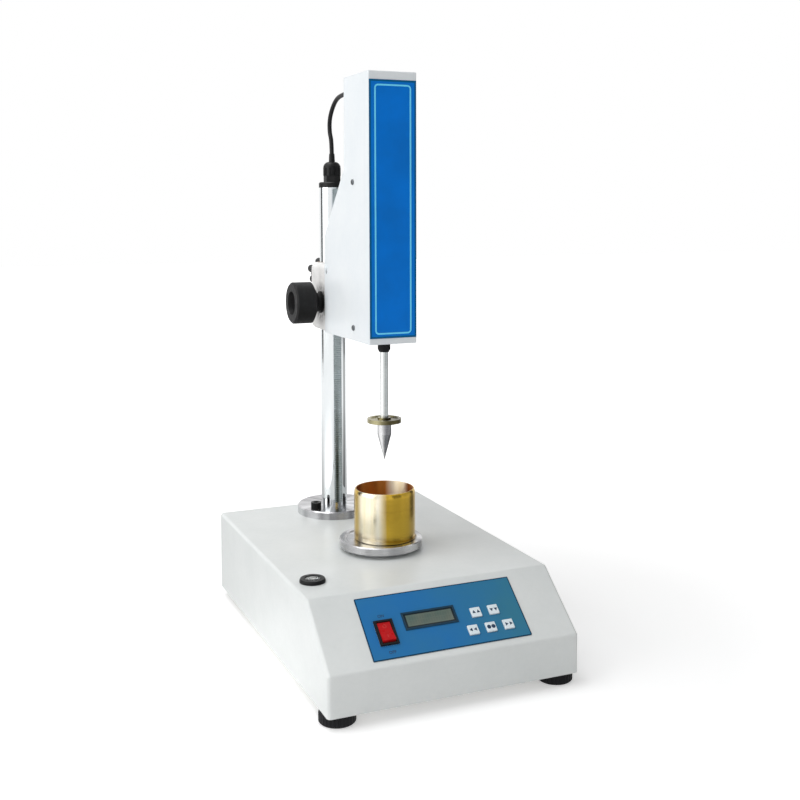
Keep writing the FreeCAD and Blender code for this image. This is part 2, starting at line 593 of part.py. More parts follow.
def pocket(owner, drawn, depth="", both_ways=False, upwards=False):
    """Cut a sketch out of the material: downwards by default, and right through without a depth."""
    made = feature(owner, "Pocket", drawn)
    made.SideType = "Symmetric" if both_ways else "One side"
    made.Reversed = upwards
    if depth:
        made.setExpression("Length", formula(depth))
    else:
        made.Type = "ThroughAll"
    return made


def revolve(owner, points, plane="XZ_Plane"):
    """Turn an outline about the body's Z axis."""
    drawn = sketch(owner, plane)
    polygon(drawn, points)
    made = feature(owner, "Revolution", drawn)
    made.ReferenceAxis = (drawn, ["V_Axis"])
    made.Angle = 360
    return made


def around(owner, cut, count):
    """Repeat a feature round the body's Z axis."""
    made = owner.newObject("PartDesign::PolarPattern", f"{owner.Name}_pattern")
    made.Originals = [cut]
    made.Axis = (origin_feature(owner, "Z_Axis"), [""])
    made.Angle = 360
    made.setExpression("Occurrences", formula(count))
    owner.Tip = made
    return made


def along(owner, cut, role, count, pitch):
    """Repeat a feature along one of the body's axes at a pitch."""
    made = owner.newObject("PartDesign::LinearPattern", f"{owner.Name}_pattern")
    made.Originals = [cut]
    made.Direction = (origin_feature(owner, role), [""])
    made.setExpression("Length", formula(f"({pitch}) * ({count} - 1)"))
    made.setExpression("Occurrences", formula(count))
    owner.Tip = made
    return made


def dress(owner, kind, amount, wanted):
    """Fillet or chamfer the edges that a test picks."""
    DOCUMENT.recompute()
    base = owner.Tip
    names = [f"Edge{i}" for i, edge in enumerate(base.Shape.Edges, start=1) if wanted(edge)]
    made = owner.newObject(f"PartDesign::{kind}", f"{owner.Name}_{kind.lower()}")
    made.Base = (base, names)
    made.setExpression("Radius" if kind == "Fillet" else "Size", formula(amount))
    return made


NEAR = 1e-4  # two lengths this close are one length


def level(edge, axis, value):
    """Whether an edge lies wholly at one coordinate: axis 0, 1 or 2."""
    box = edge.BoundBox
    low = (box.XMin, box.YMin, box.ZMin)[axis]
    high = (box.XMax, box.YMax, box.ZMax)[axis]
    return abs(low - value) < NEAR and abs(high - value) < NEAR


def upright(edge):
    """Whether an edge is straight and parallel to Z."""
    box = edge.BoundBox
    return max(box.XLength, box.YLength) < NEAR < box.ZLength


# ---------------------------------------------------------------------------------------------------------------------
# Base casing and what closes it
# ---------------------------------------------------------------------------------------------------------------------


def bottom_screw_places():
    """Six screws: three along each side lip."""
    across = "(base_width / 2 - base_wall - lip_width / 2)"
    return [(f"{side}{across}", along_y) for side in ("", "-") for along_y in ("-screw_spacing", "0", "screw_spacing")]


def base_casing():
    """Folded sheet casing with a sloping front, open below inside a turned-in lip."""
    made = body("base_casing")
    side = sketch(made, "YZ_Plane")
    front_top = "underside_height + base_front_height"
    outline = [
        (f"-{HALF_LENGTH}", "underside_height"),
        (HALF_LENGTH, "underside_height"),
        (HALF_LENGTH, TOP),
        (BREAK_Y, TOP),
        (f"-{HALF_LENGTH}", front_top),
    ]
    polygon(side, outline)
    pad(made, side, "base_width", both_ways=True)
    floor = size("underside_height")
    dress(made, "Fillet", "bend_radius", lambda edge: edge.BoundBox.ZMax > floor + NEAR)
    hollow = sketch(made, "YZ_Plane")
    lip_top = f"({PLATE_TOP} + base_wall)"
    break_shift = f"base_wall * {SLOPE_DROP} / ({SLOPE_LENGTH} + slope_run)"
    front_drop = f"base_wall * ({SLOPE_LENGTH} - {SLOPE_DROP}) / slope_run"
    inner = [
        (f"base_wall - {HALF_LENGTH}", lip_top),
        (f"{HALF_LENGTH} - base_wall", lip_top),
        (f"{HALF_LENGTH} - base_wall", f"{TOP} - base_wall"),
        (f"{BREAK_Y} + {break_shift}", f"{TOP} - base_wall"),
        (f"base_wall - {HALF_LENGTH}", f"{front_top} - {front_drop}"),
    ]
    polygon(hollow, inner)
    pocket(made, hollow, "base_width - 2 * base_wall", both_ways=True)
    plate_bed = sketch(made, lift="underside_height")
    rectangle(plate_bed, "0", "0", "base_width - 2 * base_wall", "base_length - 2 * base_wall")
    pocket(made, plate_bed, "bottom_plate_thickness", upwards=True)
    mouth = sketch(made, lift="underside_height")
    inset = "2 * (base_wall + lip_width)"
    rectangle(mouth, "0", "0", f"base_width - {inset}", f"base_length - {inset}")
    pocket(made, mouth, "bottom_plate_thickness + 2 * base_wall", upwards=True)
    taps = sketch(made, lift="underside_height")
    for x, y in bottom_screw_places():
        circle(taps, x, y, "screw_radius + thread_clearance")
    for _, x, y in FEET:
        circle(taps, x, y, "foot_nut_flats / sqrt(3) + screw_clearance")
    pocket(made, taps, "bottom_plate_thickness + 2 * base_wall", upwards=True)
    top_holes = sketch(made, lift=TOP)
    circle(top_holes, BUBBLE_X, BUBBLE_Y, "bubble_vial_radius + screw_clearance")
    circle(top_holes, "stage_x", SPINDLE_Y, "stage_stud_radius + screw_clearance")
    circle(top_holes, "0", COLUMN_Y, "cable_hole_radius")
    for x, y in flange_bolt_places():
        circle(top_holes, x, y, "flange_bolt_radius + screw_clearance")
    pocket(made, top_holes, "panel_cut_depth")
    cuts = slope_sketch(made)
    rectangle(cuts, "display_centre_x", "-display_drop", "display_width - 2 * display_frame",
              "display_height - 2 * display_frame")
    rectangle(cuts, "switch_centre_x", "-switch_drop", "switch_body_width + 2 * sheet_gap",
              "switch_body_height + 2 * sheet_gap")
    for _, x, drop in KEYS:
        rectangle(cuts, x, f"-({drop})", "key_width + 2 * key_gap", "key_height + 2 * key_gap")
    pocket(made, cuts, "panel_cut_depth")
    rear = sketch(made, "XZ_Plane", f"-{HALF_LENGTH}")
    rectangle(rear, INLET_X, "underside_height + inlet_height", "inlet_width + 2 * inlet_wall + 2 * sheet_gap",
              "inlet_tall + 2 * inlet_wall + 2 * sheet_gap")
    pocket(made, rear, "panel_cut_depth", upwards=True)


def base_plate():
    """Bottom plate let into the casing, with two rows of cooling slots."""
    made = body("base_plate")
    place(made, z="underside_height")
    sheet = sketch(made)
    inset = "2 * (base_wall + sheet_gap)"
    rectangle(sheet, "0", "0", f"base_width - {inset}", f"base_length - {inset}")
    pad(made, sheet, "bottom_plate_thickness")
    holes = sketch(made, lift="bottom_plate_thickness")
    for x, y in bottom_screw_places():
        circle(holes, x, y, "screw_radius + screw_clearance")
    for _, x, y in FEET:
        circle(holes, x, y, "foot_stud_radius + screw_clearance")
    pocket(made, holes)
    slot = sketch(made, lift="bottom_plate_thickness")
    for side in ("-", ""):
        rectangle(slot, f"{side}(base_width / 4)", "-vent_pitch * (vent_count - 1) / 2", "vent_length", "vent_width")
    cut = pocket(made, slot)
    along(made, cut, "Y_Axis", "vent_count", "vent_pitch")


def base_plate_screws():
    """Slotted pan-head screws that hold the bottom plate to the lip."""
    made = body("base_plate_screws")
    place(made, z="underside_height")
    heads = sketch(made)
    shanks = sketch(made)
    slots = sketch(made, lift="-screw_head_height")
    for x, y in bottom_screw_places():
        circle(heads, x, y, "screw_head_radius")
        circle(shanks, x, y, "screw_radius")
        rectangle(slots, x, y, "2 * screw_head_radius", "screw_slot_width")
    pad(made, heads, "screw_head_height", downwards=True)
    pad(made, shanks, "screw_length")
    pocket(made, slots, "screw_slot_depth", upwards=True)


def foot_nuts():
    """Weld nuts on the bottom plate that the levelling screws turn in."""
    made = body("foot_nuts")
    place(made, z=PLATE_TOP)
    blanks = sketch(made)
    bores = sketch(made, lift="foot_nut_height")
    for _, x, y in FEET:
        hexagon(blanks, x, y, "foot_nut_flats")
        circle(bores, x, y, "foot_stud_radius + running_clearance")
    pad(made, blanks, "foot_nut_height")
    pocket(made, bores)


def levelling_foot(label, x, y):
    """Knurled disc moulded on its levelling screw."""
    made = body(label)
    place(made, x, y)
    revolve(made, [
        ("0", "0"),
        ("foot_radius - foot_chamfer", "0"),
        ("foot_radius", "foot_chamfer"),
        ("foot_radius", "foot_height - foot_chamfer"),
        ("foot_radius - foot_chamfer", "foot_height"),
        ("foot_stud_radius", "foot_height"),
        ("foot_stud_radius", "foot_height + foot_stud_length"),
        ("0", "foot_height + foot_stud_length"),
    ])
    groove = sketch(made, lift="foot_height")
    circle(groove, "foot_radius + foot_groove_radius / 4", "0", "foot_groove_radius")
    cut = pocket(made, groove)
    around(made, cut, "foot_groove_count")


# ---------------------------------------------------------------------------------------------------------------------
# Bubble level, control panel and electrics
# ---------------------------------------------------------------------------------------------------------------------


def bubble_level():
    """Ring on the casing's top, and the clear vial that hangs through it."""
    ring = body("bubble_level_ring")
    place(ring, BUBBLE_X, BUBBLE_Y, TOP)
    revolve(ring, [
        ("bubble_vial_radius + running_clearance", "0"),
        ("bubble_radius", "0"),
        ("bubble_radius", "bubble_height / 2"),
        ("bubble_radius - bubble_height / 4", "bubble_height"),
        ("bubble_vial_radius + running_clearance", "bubble_height"),
    ])
    vial = body("bubble_level_vial")
    place(vial, BUBBLE_X, BUBBLE_Y, TOP)
    revolve(vial, [
        ("0", "-bubble_body_depth"),
        ("bubble_vial_radius", "-bubble_body_depth"),
        ("bubble_vial_radius", "bubble_height - bubble_dome_height"),
        ("bubble_vial_radius * 2 / 3", "bubble_height - bubble_dome_height / 4"),
        ("bubble_vial_radius / 3", "bubble_height"),
        ("0", "bubble_height"),
    ])


def control_panel():
    """Printed overlay with windows for the display, the switch and the keys."""
    made = body("control_panel")
    place_on_slope(made)
    film = sketch(made)
    rectangle(film, "panel_centre_x", "-panel_drop", "panel_width", "panel_height")
    pad(made, film, "panel_thickness")
    dress(made, "Fillet", "panel_corner", upright)
    windows = sketch(made, lift="panel_thickness")
    rectangle(windows, "display_centre_x", "-display_drop", "display_width - 2 * display_frame",
              "display_height - 2 * display_frame")
    rectangle(windows, "switch_centre_x", "-switch_drop", "switch_width + 2 * sheet_gap",
              "switch_height + 2 * sheet_gap")
    for _, x, drop in KEYS:
        rectangle(windows, x, f"-({drop})", "key_width + 2 * key_gap", "key_height + 2 * key_gap")
    pocket(made, windows)


def display():
    """Bezel on the overlay, and the glass in its window."""
    bezel = body("display_bezel")
    place_on_slope(bezel)
    frame = sketch(bezel, lift="panel_thickness")
    rectangle(frame, "display_centre_x", "-display_drop", "display_width", "display_height")
    pad(bezel, frame, "display_rise")
    window = sketch(bezel, lift="panel_thickness + display_rise")
    rectangle(window, "display_centre_x", "-display_drop", "display_width - 2 * display_frame",
              "display_height - 2 * display_frame")
    pocket(bezel, window)
    glass = body("display_glass")
    place_on_slope(glass)
    pane = sketch(glass, lift="panel_thickness + display_rise - display_glass_recess")
    rectangle(pane, "display_centre_x", "-display_drop", "display_width - 2 * (display_frame + rack_fit)",
              "display_height - 2 * (display_frame + rack_fit)")
    pad(glass, pane, "display_glass_thickness", downwards=True)


def panel_board():
    """Circuit board behind the slope, with its spacer posts, the display module and a switch under each key."""
    made = body("panel_board")
    place_on_slope(made)
    board = sketch(made, lift="-board_depth")
    rectangle(board, "board_centre_x", "-board_drop", "board_width", "board_height")
    pad(made, board, "board_thickness", downwards=True)
    posts = sketch(made, lift="-board_depth - board_thickness / 2")
    across = "(board_width / 2 - board_post_inset)"
    down = "(board_height / 2 - board_post_inset)"
    for x_side in ("-", "+"):
        for y_side in ("-", "+"):
            circle(posts, f"board_centre_x {x_side} {across}", f"-board_drop {y_side} {down}", "board_post_radius")
    pad(made, posts, "board_depth - base_wall + board_thickness / 2")
    switches = sketch(made, lift="-board_depth - board_thickness / 2")
    for _, x, drop in KEYS:
        rectangle(switches, x, f"-({drop})", "tact_width", "tact_width")
    key_underside = "base_wall + key_gap + key_flange_thickness + key_travel + tact_gap"
    pad(made, switches, f"board_depth + board_thickness / 2 - ({key_underside})")
    module = sketch(made, lift="-board_depth - board_thickness / 2")
    rectangle(module, "display_centre_x", "-display_drop", "display_width - 4 * display_frame",
              "display_height - 4 * display_frame")
    glass_back = "display_glass_thickness + display_glass_recess - panel_thickness - display_rise"
    pad(made, module, f"board_depth + board_thickness / 2 - ({glass_back}) - display_module_gap")


def power_switch():
    """Switch housing with its well and blades, and the tilted rocker in the well."""
    housing = body("power_switch_housing")
    place_on_slope(housing)
    flange = sketch(housing)
    rectangle(flange, "switch_centre_x", "-switch_drop", "switch_width", "switch_height")
    pad(housing, flange, "switch_rise")
    block = sketch(housing)
    rectangle(block, "switch_centre_x", "-switch_drop", "switch_body_width", "switch_body_height")
    pad(housing, block, "switch_body_depth", downwards=True)
    well = sketch(housing, lift="switch_rise")
    rectangle(well, "switch_centre_x", "-switch_drop", "switch_body_width - 2 * switch_wall",
              "switch_body_height - 2 * switch_wall")
    pocket(housing, well, "switch_rise + switch_well_depth")
    blades = sketch(housing, lift="-switch_body_depth")
    for side in ("-", "+"):
        rectangle(blades, "switch_centre_x", f"-switch_drop {side} switch_tab_spacing / 2", "switch_tab_width",
                  "switch_tab_thickness")
    pad(housing, blades, "switch_tab_length", downwards=True)
    rocker = body("power_switch_rocker")
    place(rocker, "switch_centre_x",
          f"{BREAK_Y} - switch_drop * slope_run / {SLOPE_LENGTH} + rocker_pivot_depth * {SLOPE_DROP} / {SLOPE_LENGTH}",
          f"{TOP} - switch_drop * {SLOPE_DROP} / {SLOPE_LENGTH} - rocker_pivot_depth * slope_run / {SLOPE_LENGTH}",
          (1, 0, 0), f"{SLOPE_ANGLE} - rocker_tilt * 1 deg")
    half = "((switch_body_height - 2 * switch_wall) / 2 - rocker_gap - rocker_horn * sin(rocker_tilt))"
    outline = sketch(rocker, "YZ_Plane")
    polygon(outline, [
        (f"-{half}", "0"),
        (f"-{half} / 2", "-rocker_belly"),
        (f"{half} / 2", "-rocker_belly"),
        (half, "0"),
        (half, "rocker_horn"),
        ("0", "rocker_ridge"),
        (f"-{half}", "rocker_horn"),
    ])
    pad(rocker, outline, "switch_body_width - 2 * (switch_wall + rocker_gap)", both_ways=True)


def key(label, x, drop):
    """Key cap with the flange that keeps it in the casing."""
    made = body(label)
    place_on_slope(made)
    cap = sketch(made, lift="-base_wall - key_gap")
    rectangle(cap, x, f"-({drop})", "key_width", "key_height")
    pad(made, cap, "base_wall + key_gap + key_rise")
    rise = size("key_rise")
    dress(made, "Fillet", "key_edge", lambda edge: level(edge, 2, rise) or upright(edge))
    flange = sketch(made, lift="-base_wall - key_gap")
    rectangle(flange, x, f"-({drop})", "key_width + 2 * key_flange", "key_height + 2 * key_flange")
    pad(made, flange, "key_flange_thickness", downwards=True)


def main_board():
    """Main circuit board on posts, with its controller and smoothing capacitor."""
    made = body("main_board")
    place(made, "main_board_inset - base_width / 2", "main_board_y", PLATE_TOP)
    board = sketch(made, lift="main_board_lift")
    rectangle(board, "0", "0", "main_board_width", "main_board_length")
    pad(made, board, "board_thickness")
    posts = sketch(made)
    across = "(main_board_width / 2 - board_post_inset)"
    back = "(main_board_length / 2 - board_post_inset)"
    for x in (f"-{across}", across):
        for y in (f"-{back}", back):
            circle(posts, x, y, "board_post_radius")
    pad(made, posts, "main_board_lift + board_thickness / 2")
    chip = sketch(made, lift="main_board_lift + board_thickness / 2")
    rectangle(chip, "-main_board_width / 5", "-main_board_length / 6", "chip_width", "chip_width")
    pad(made, chip, "chip_height + board_thickness / 2")
    capacitor = sketch(made, lift="main_board_lift + board_thickness / 2")
    circle(capacitor, "main_board_width / 3", "main_board_length / 4", "capacitor_radius")
    pad(made, capacitor, "capacitor_height + board_thickness / 2")


def transformer():
    """Laminated core with its coil and fixing flange."""
    made = body("transformer")
    place(made, "base_width / 2 - transformer_inset", "transformer_y", PLATE_TOP)
    flange = sketch(made)
    rectangle(flange, "0", "0", "transformer_width + 2 * transformer_foot", "transformer_length / 2")
    pad(made, flange, "transformer_foot_thickness")
    core = sketch(made)
    rectangle(core, "0", "0", "transformer_width", "transformer_length / 2")
    pad(made, core, "transformer_height")
    coil = sketch(made, lift="transformer_foot_thickness")
    rectangle(coil, "0", "0", "transformer_width * 2 / 3", "transformer_length / 2 + 2 * transformer_coil_overhang")
    pad(made, coil, "transformer_height - 2 * transformer_foot_thickness")


def mains_inlet():
    """Three-pin mains inlet, clipped in from behind with its socket's face flush with the casing."""
    made = body("mains_inlet")
    place(made, INLET_X, HALF_LENGTH, "underside_height + inlet_height", (1, 0, 0), "90")
    shell = sketch(made)
    rectangle(shell, "0", "0", "inlet_width + 2 * inlet_wall", "inlet_tall + 2 * inlet_wall")
    pad(made, shell, "inlet_depth + inlet_wall")
    ears = sketch(made, lift="base_wall")
    rectangle(ears, "0", "0", "inlet_width + 2 * (inlet_wall + inlet_flange)", "inlet_tall + 2 * inlet_wall")
    pad(made, ears, "inlet_flange_thickness")
    socket = sketch(made)
    rectangle(socket, "0", "0", "inlet_width", "inlet_tall")
    pocket(made, socket, "inlet_depth", upwards=True)
    pins = sketch(made, lift="pin_recess")
    for x, y in (("-pin_spacing", "-pin_offset"), ("0", "pin_offset"), ("pin_spacing", "-pin_offset")):
        rectangle(pins, x, y, "pin_width", "pin_tall")
    pad(made, pins, "inlet_depth + inlet_wall / 2 - pin_recess")


# ---------------------------------------------------------------------------------------------------------------------
# Tray and sample cup
# ---------------------------------------------------------------------------------------------------------------------


def cup_stage():
    """Turned tray that the cup stands in, on a boss with a threaded stud, and the nut that holds it."""
    tray = body("cup_stage")
    place(tray, "stage_x", SPINDLE_Y, TOP)
    top = "(stage_foot_height + stage_thickness)"
    revolve(tray, [
        ("0", "-stage_stud_length"),
        ("stage_stud_radius", "-stage_stud_length"),
        ("stage_stud_radius", "0"),
        ("stage_foot_radius", "0"),
        ("stage_foot_radius", "stage_foot_height"),
        (f"{STAGE_RADIUS} - stage_chamfer", "stage_foot_height"),
        (STAGE_RADIUS, "stage_foot_height + stage_chamfer"),
        (STAGE_RADIUS, f"{top} - stage_chamfer"),
        (f"{STAGE_RADIUS} - stage_chamfer", top),
        (f"{STAGE_RADIUS} - stage_rim", top),
        (f"{STAGE_RADIUS} - stage_rim - stage_recess", f"{top} - stage_recess"),
        ("0", f"{top} - stage_recess"),
    ])
    nut = body("stage_nut")
    place(nut, "stage_x", SPINDLE_Y, f"{TOP} - base_wall")
    washer = sketch(nut)
    circle(washer, "0", "0", "stage_washer_radius")
    pad(nut, washer, "stage_washer_thickness", downwards=True)
    blank = sketch(nut)
    hexagon(blank, "0", "0", "stage_nut_flats")
    pad(nut, blank, "stage_washer_thickness + stage_nut_height", downwards=True)
    bore = sketch(nut)
    circle(bore, "0", "0", "stage_stud_radius + thread_clearance")
    pocket(nut, bore)


def sample_cup():
    """Brass cup whose wall tapers to a thin rim."""
    made = body("sample_cup")
    place(made, y=SPINDLE_Y, z=CUP_BOTTOM)
    revolve(made, [
        ("0", "0"),
        ("cup_radius - cup_corner", "0"),
        ("cup_radius", "cup_corner"),
        ("cup_radius", "cup_height - cup_rim_height"),
        ("cup_radius - cup_rim_taper", "cup_height"),
        (f"{CUP_BORE} + cup_lip", "cup_height"),
        (CUP_BORE, "cup_height - cup_lip"),
        (CUP_BORE, "cup_floor + cup_corner"),
        (f"{CUP_BORE} - cup_corner", "cup_floor"),
        ("0", "cup_floor"),
    ])


# ---------------------------------------------------------------------------------------------------------------------
# Column
# ---------------------------------------------------------------------------------------------------------------------


def flange_bolt_places(y=COLUMN_Y):
    """Three screws on the flange's circle."""
    turns = [f"(flange_bolt_turn + {turn})" for turn in (0, 120, 240)]
    return [(f"flange_bolt_circle * cos{turn}", f"{y} + flange_bolt_circle * sin{turn}") for turn in turns]


def column_flange():
    """Turned flange that the column stands in, screwed through the casing to its backing plate."""
    flange = body("column_flange")
    place(flange, y=COLUMN_Y, z=TOP)
    revolve(flange, [
        ("column_radius + flange_fit", "0"),
        ("flange_radius", "0"),
        ("flange_radius", "flange_thickness - flange_chamfer"),
        ("flange_radius - flange_chamfer", "flange_thickness"),
        ("column_radius + flange_fit", "flange_thickness"),
    ])
    holes = sketch(flange, lift="flange_thickness")
    for x, y in flange_bolt_places("0"):
        circle(holes, x, y, "flange_bolt_radius + screw_clearance")
    pocket(flange, holes)
    backing = body("column_backing_plate")
    place(backing, z=f"{TOP} - base_wall")
    plate = sketch(backing)
    rectangle(plate, "0", f"{COLUMN_Y} + backing_shift", "backing_width", "backing_length")
    pad(backing, plate, "backing_thickness", downwards=True)
    taps = sketch(backing)
    circle(taps, "0", COLUMN_Y, "cable_hole_radius")
    for x, y in flange_bolt_places():
        circle(taps, x, y, "flange_bolt_radius + thread_clearance")
    pocket(backing, taps)


def flange_screws():
    """Socket-head screws of the column flange."""
    made = body("flange_screws")
    place(made, z=f"{TOP} + flange_thickness")
    shanks = sketch(made)
    heads = sketch(made)
    sockets = sketch(made, lift="flange_bolt_head_height")
    for x, y in flange_bolt_places():
        circle(shanks, x, y, "flange_bolt_radius")
        circle(heads, x, y, "flange_bolt_head_radius")
        hexagon(sockets, x, y, "flange_bolt_socket")
    pad(made, heads, "flange_bolt_head_height")
    pad(made, shanks, "flange_thickness + base_wall + backing_thickness", downwards=True)
    pocket(made, sockets, "flange_bolt_socket_depth")


def column_tube():
    """Column tube with the slot that the rack sits in."""
    made = body("column_tube")
    place(made, y=COLUMN_Y, z=TOP)
    revolve(made, [
        (TUBE_BORE, "0"),
        ("column_radius", "0"),
        ("column_radius", "column_height"),
        (TUBE_BORE, "column_height"),
    ])
    slot = sketch(made, "XZ_Plane")
    rectangle(slot, "0", f"rack_start + {RACK_LENGTH} / 2", "rack_width + 2 * rack_fit", f"{RACK_LENGTH} + 2 * rack_fit")
    pocket(made, slot, "column_radius + column_wall", upwards=True)


def shape_part(label, shape):
    """A sub-part whose shape is worked out point by point from the sheet's sizes."""
    made = DOCUMENT.addObject("Part::Feature", label)
    made.Label = label
    made.Shape = shape
    PARTS.append(made)
    return made


def half_tooth():
    """Half the thickness of a tooth on the pitch line, of the rack and the pinion alike."""
    return size("gear_module") * math.pi / 4 - size("gear_thinning") / 2


def rack_teeth():
    """Number of whole teeth on the rack."""
    room = size("column_height") - size("rack_start") - size("rack_end")
    return math.floor(room / (size("gear_module") * math.pi))


def column_rack():
    """Toothed bar let into the column's front, its teeth just proud of the tube."""
    module = size("gear_module")
    pitch = module * math.pi
    pitch_line = size("rack_inset") - size("column_radius")
    tip = pitch_line - module
    root = pitch_line + module * (1 + size("gear_root_clearance"))
    back = tip + size("rack_depth")
    lean = math.tan(math.radians(size("pressure_angle")))
    half_tip = half_tooth() - module * lean
    half_root = half_tooth() + (root - pitch_line) * lean
    outline = [(back, 0.0), (root, 0.0)]
    for tooth in range(rack_teeth()):
        middle = (tooth + 0.5) * pitch
        outline += [(root, middle - half_root), (tip, middle - half_tip)]
        outline += [(tip, middle + half_tip), (root, middle + half_root)]
    outline += [(root, rack_teeth() * pitch), (back, rack_teeth() * pitch)]
    half_width = size("rack_width") / 2
    ring = [FreeCAD.Vector(-half_width, y, z) for y, z in outline]
    face = Part.Face(Part.makePolygon(ring + ring[:1]))
    made = shape_part("column_rack", face.extrude(FreeCAD.Vector(2 * half_width, 0, 0)))
    place(made, y=COLUMN_Y, z=f"{TOP} + rack_start")


def column_cap():
    """Cap on the column with the hole that the gland screws into."""
    made = body("column_cap")
    place(made, y=COLUMN_Y, z=COLUMN_TOP)
    bore = "gland_thread_radius + thread_clearance"
    plug = f"{TUBE_BORE} - running_clearance"
    revolve(made, [
        (bore, "-cap_plug_depth"),
        (plug, "-cap_plug_depth"),
        (plug, "0"),
        ("cap_radius", "0"),
        ("cap_radius", "cap_height - cap_chamfer"),
        ("cap_radius - cap_chamfer", "cap_height"),
        (bore, "cap_height"),
    ])


def cable_gland():
    """Gland body on the cap, and the ribbed dome nut with its bend guard."""
    gland = body("cable_gland_body")
    place(gland, y=COLUMN_Y, z=CAP_TOP)
    block = sketch(gland)
    hexagon(block, "0", "0", "gland_flats")
    pad(gland, block, "gland_height")
    thread = sketch(gland)
    circle(thread, "0", "0", "gland_thread_radius")
    pad(gland, thread, "cap_height + cap_plug_depth", downwards=True)
    neck = sketch(gland)
    circle(neck, "0", "0", "gland_neck_radius")
    pad(gland, neck, "gland_height + gland_neck_height")
    bore = sketch(gland, lift="gland_height + gland_neck_height")
    circle(bore, "0", "0", "cable_radius + running_clearance")
    pocket(gland, bore)
    cable_fit = "cable_radius + running_clearance"
    shoulder = "gland_nut_height - gland_nut_dome"
    crown = "(gland_nut_radius - gland_tail_radius)"
    dome = [(f"gland_tail_radius + {crown} * cos({turn})", f"{shoulder} + gland_nut_dome * sin({turn})")
            for turn in (0, 18, 36, 54, 72)]
    nut = body("cable_gland_nut")
    place(nut, y=COLUMN_Y, z=GLAND_TOP)
    revolve(nut, [
        ("gland_neck_radius + thread_clearance", "0"),
        ("gland_nut_radius", "0"),
        *dome,
        ("gland_tail_radius", "gland_nut_height"),
        ("gland_tail_tip_radius", "gland_nut_height + gland_tail_height"),
        (cable_fit, "gland_nut_height + gland_tail_height"),
        (cable_fit, "gland_neck_height + thread_clearance"),
        ("gland_neck_radius + thread_clearance", "gland_neck_height + thread_clearance"),
    ])
    rib = sketch(nut)
    circle(rib, "gland_nut_radius", "0", "gland_rib_radius")
    cut = pocket(nut, rib, shoulder, upwards=True)
    around(nut, cut, "gland_nut_ribs")


def tangent_path(points, share):
    """Straight runs joined by tangent arcs, and the arcs' radii."""
    edges = []
    radii = []
    start = points[0]
    for before, corner, after in zip(points, points[1:], points[2:]):
        arriving = (corner - before).normalize()
        leaving = (after - corner).normalize()
        half_turn = arriving.getAngle(leaving) / 2
        reach = share * min((corner - before).Length, (after - corner).Length)
        radius = reach / math.tan(half_turn)
        arc_start = corner - arriving * reach
        arc_end = corner + leaving * reach
        inwards = (leaving - arriving).normalize()
        middle = corner + inwards * (radius / math.cos(half_turn) - radius)
        edges.append(Part.LineSegment(start, arc_start).toShape())
        edges.append(Part.Arc(arc_start, middle, arc_end).toShape())
        radii.append(radius)
        start = arc_end
    edges.append(Part.LineSegment(start, points[-1]).toShape())
    return Part.Wire(edges), radii


def head_cable():
    """Cable from the bend guard, over the back, to short of the grommet in the head's back cover."""
    DOCUMENT.recompute()
    guard_height = size("gland_nut_height") + size("gland_tail_height")
    guard_tip = DOCUMENT.getObject("cable_gland_nut").Placement.Base + FreeCAD.Vector(0, 0, guard_height)
    entry = DOCUMENT.getObject("cable_grommet").Placement.Base
    points = [guard_tip + FreeCAD.Vector(0, y, z) for y, z in CABLE_ROUTE]
    points.append(entry + FreeCAD.Vector(0, size("grommet_flange") + size("cable_end_gap"), 0))
    path, radii = tangent_path(points, size("cable_share"))
    section = Part.Wire([Part.Circle(points[0], points[1] - points[0], size("cable_radius")).toShape()])
    tube = path.makePipeShell([section], True, False)
    shape_part("head_cable", tube)
    expected = math.pi * size("cable_radius") ** 2 * path.Length
    rounded = [round(radius, 1) for radius in radii]
    print("cable length", round(path.Length, 1), "radii", rounded, "volume ratio", round(tube.Volume / expected, 4))


# ---------------------------------------------------------------------------------------------------------------------
# Carriage, lift pinion and lock
# ---------------------------------------------------------------------------------------------------------------------


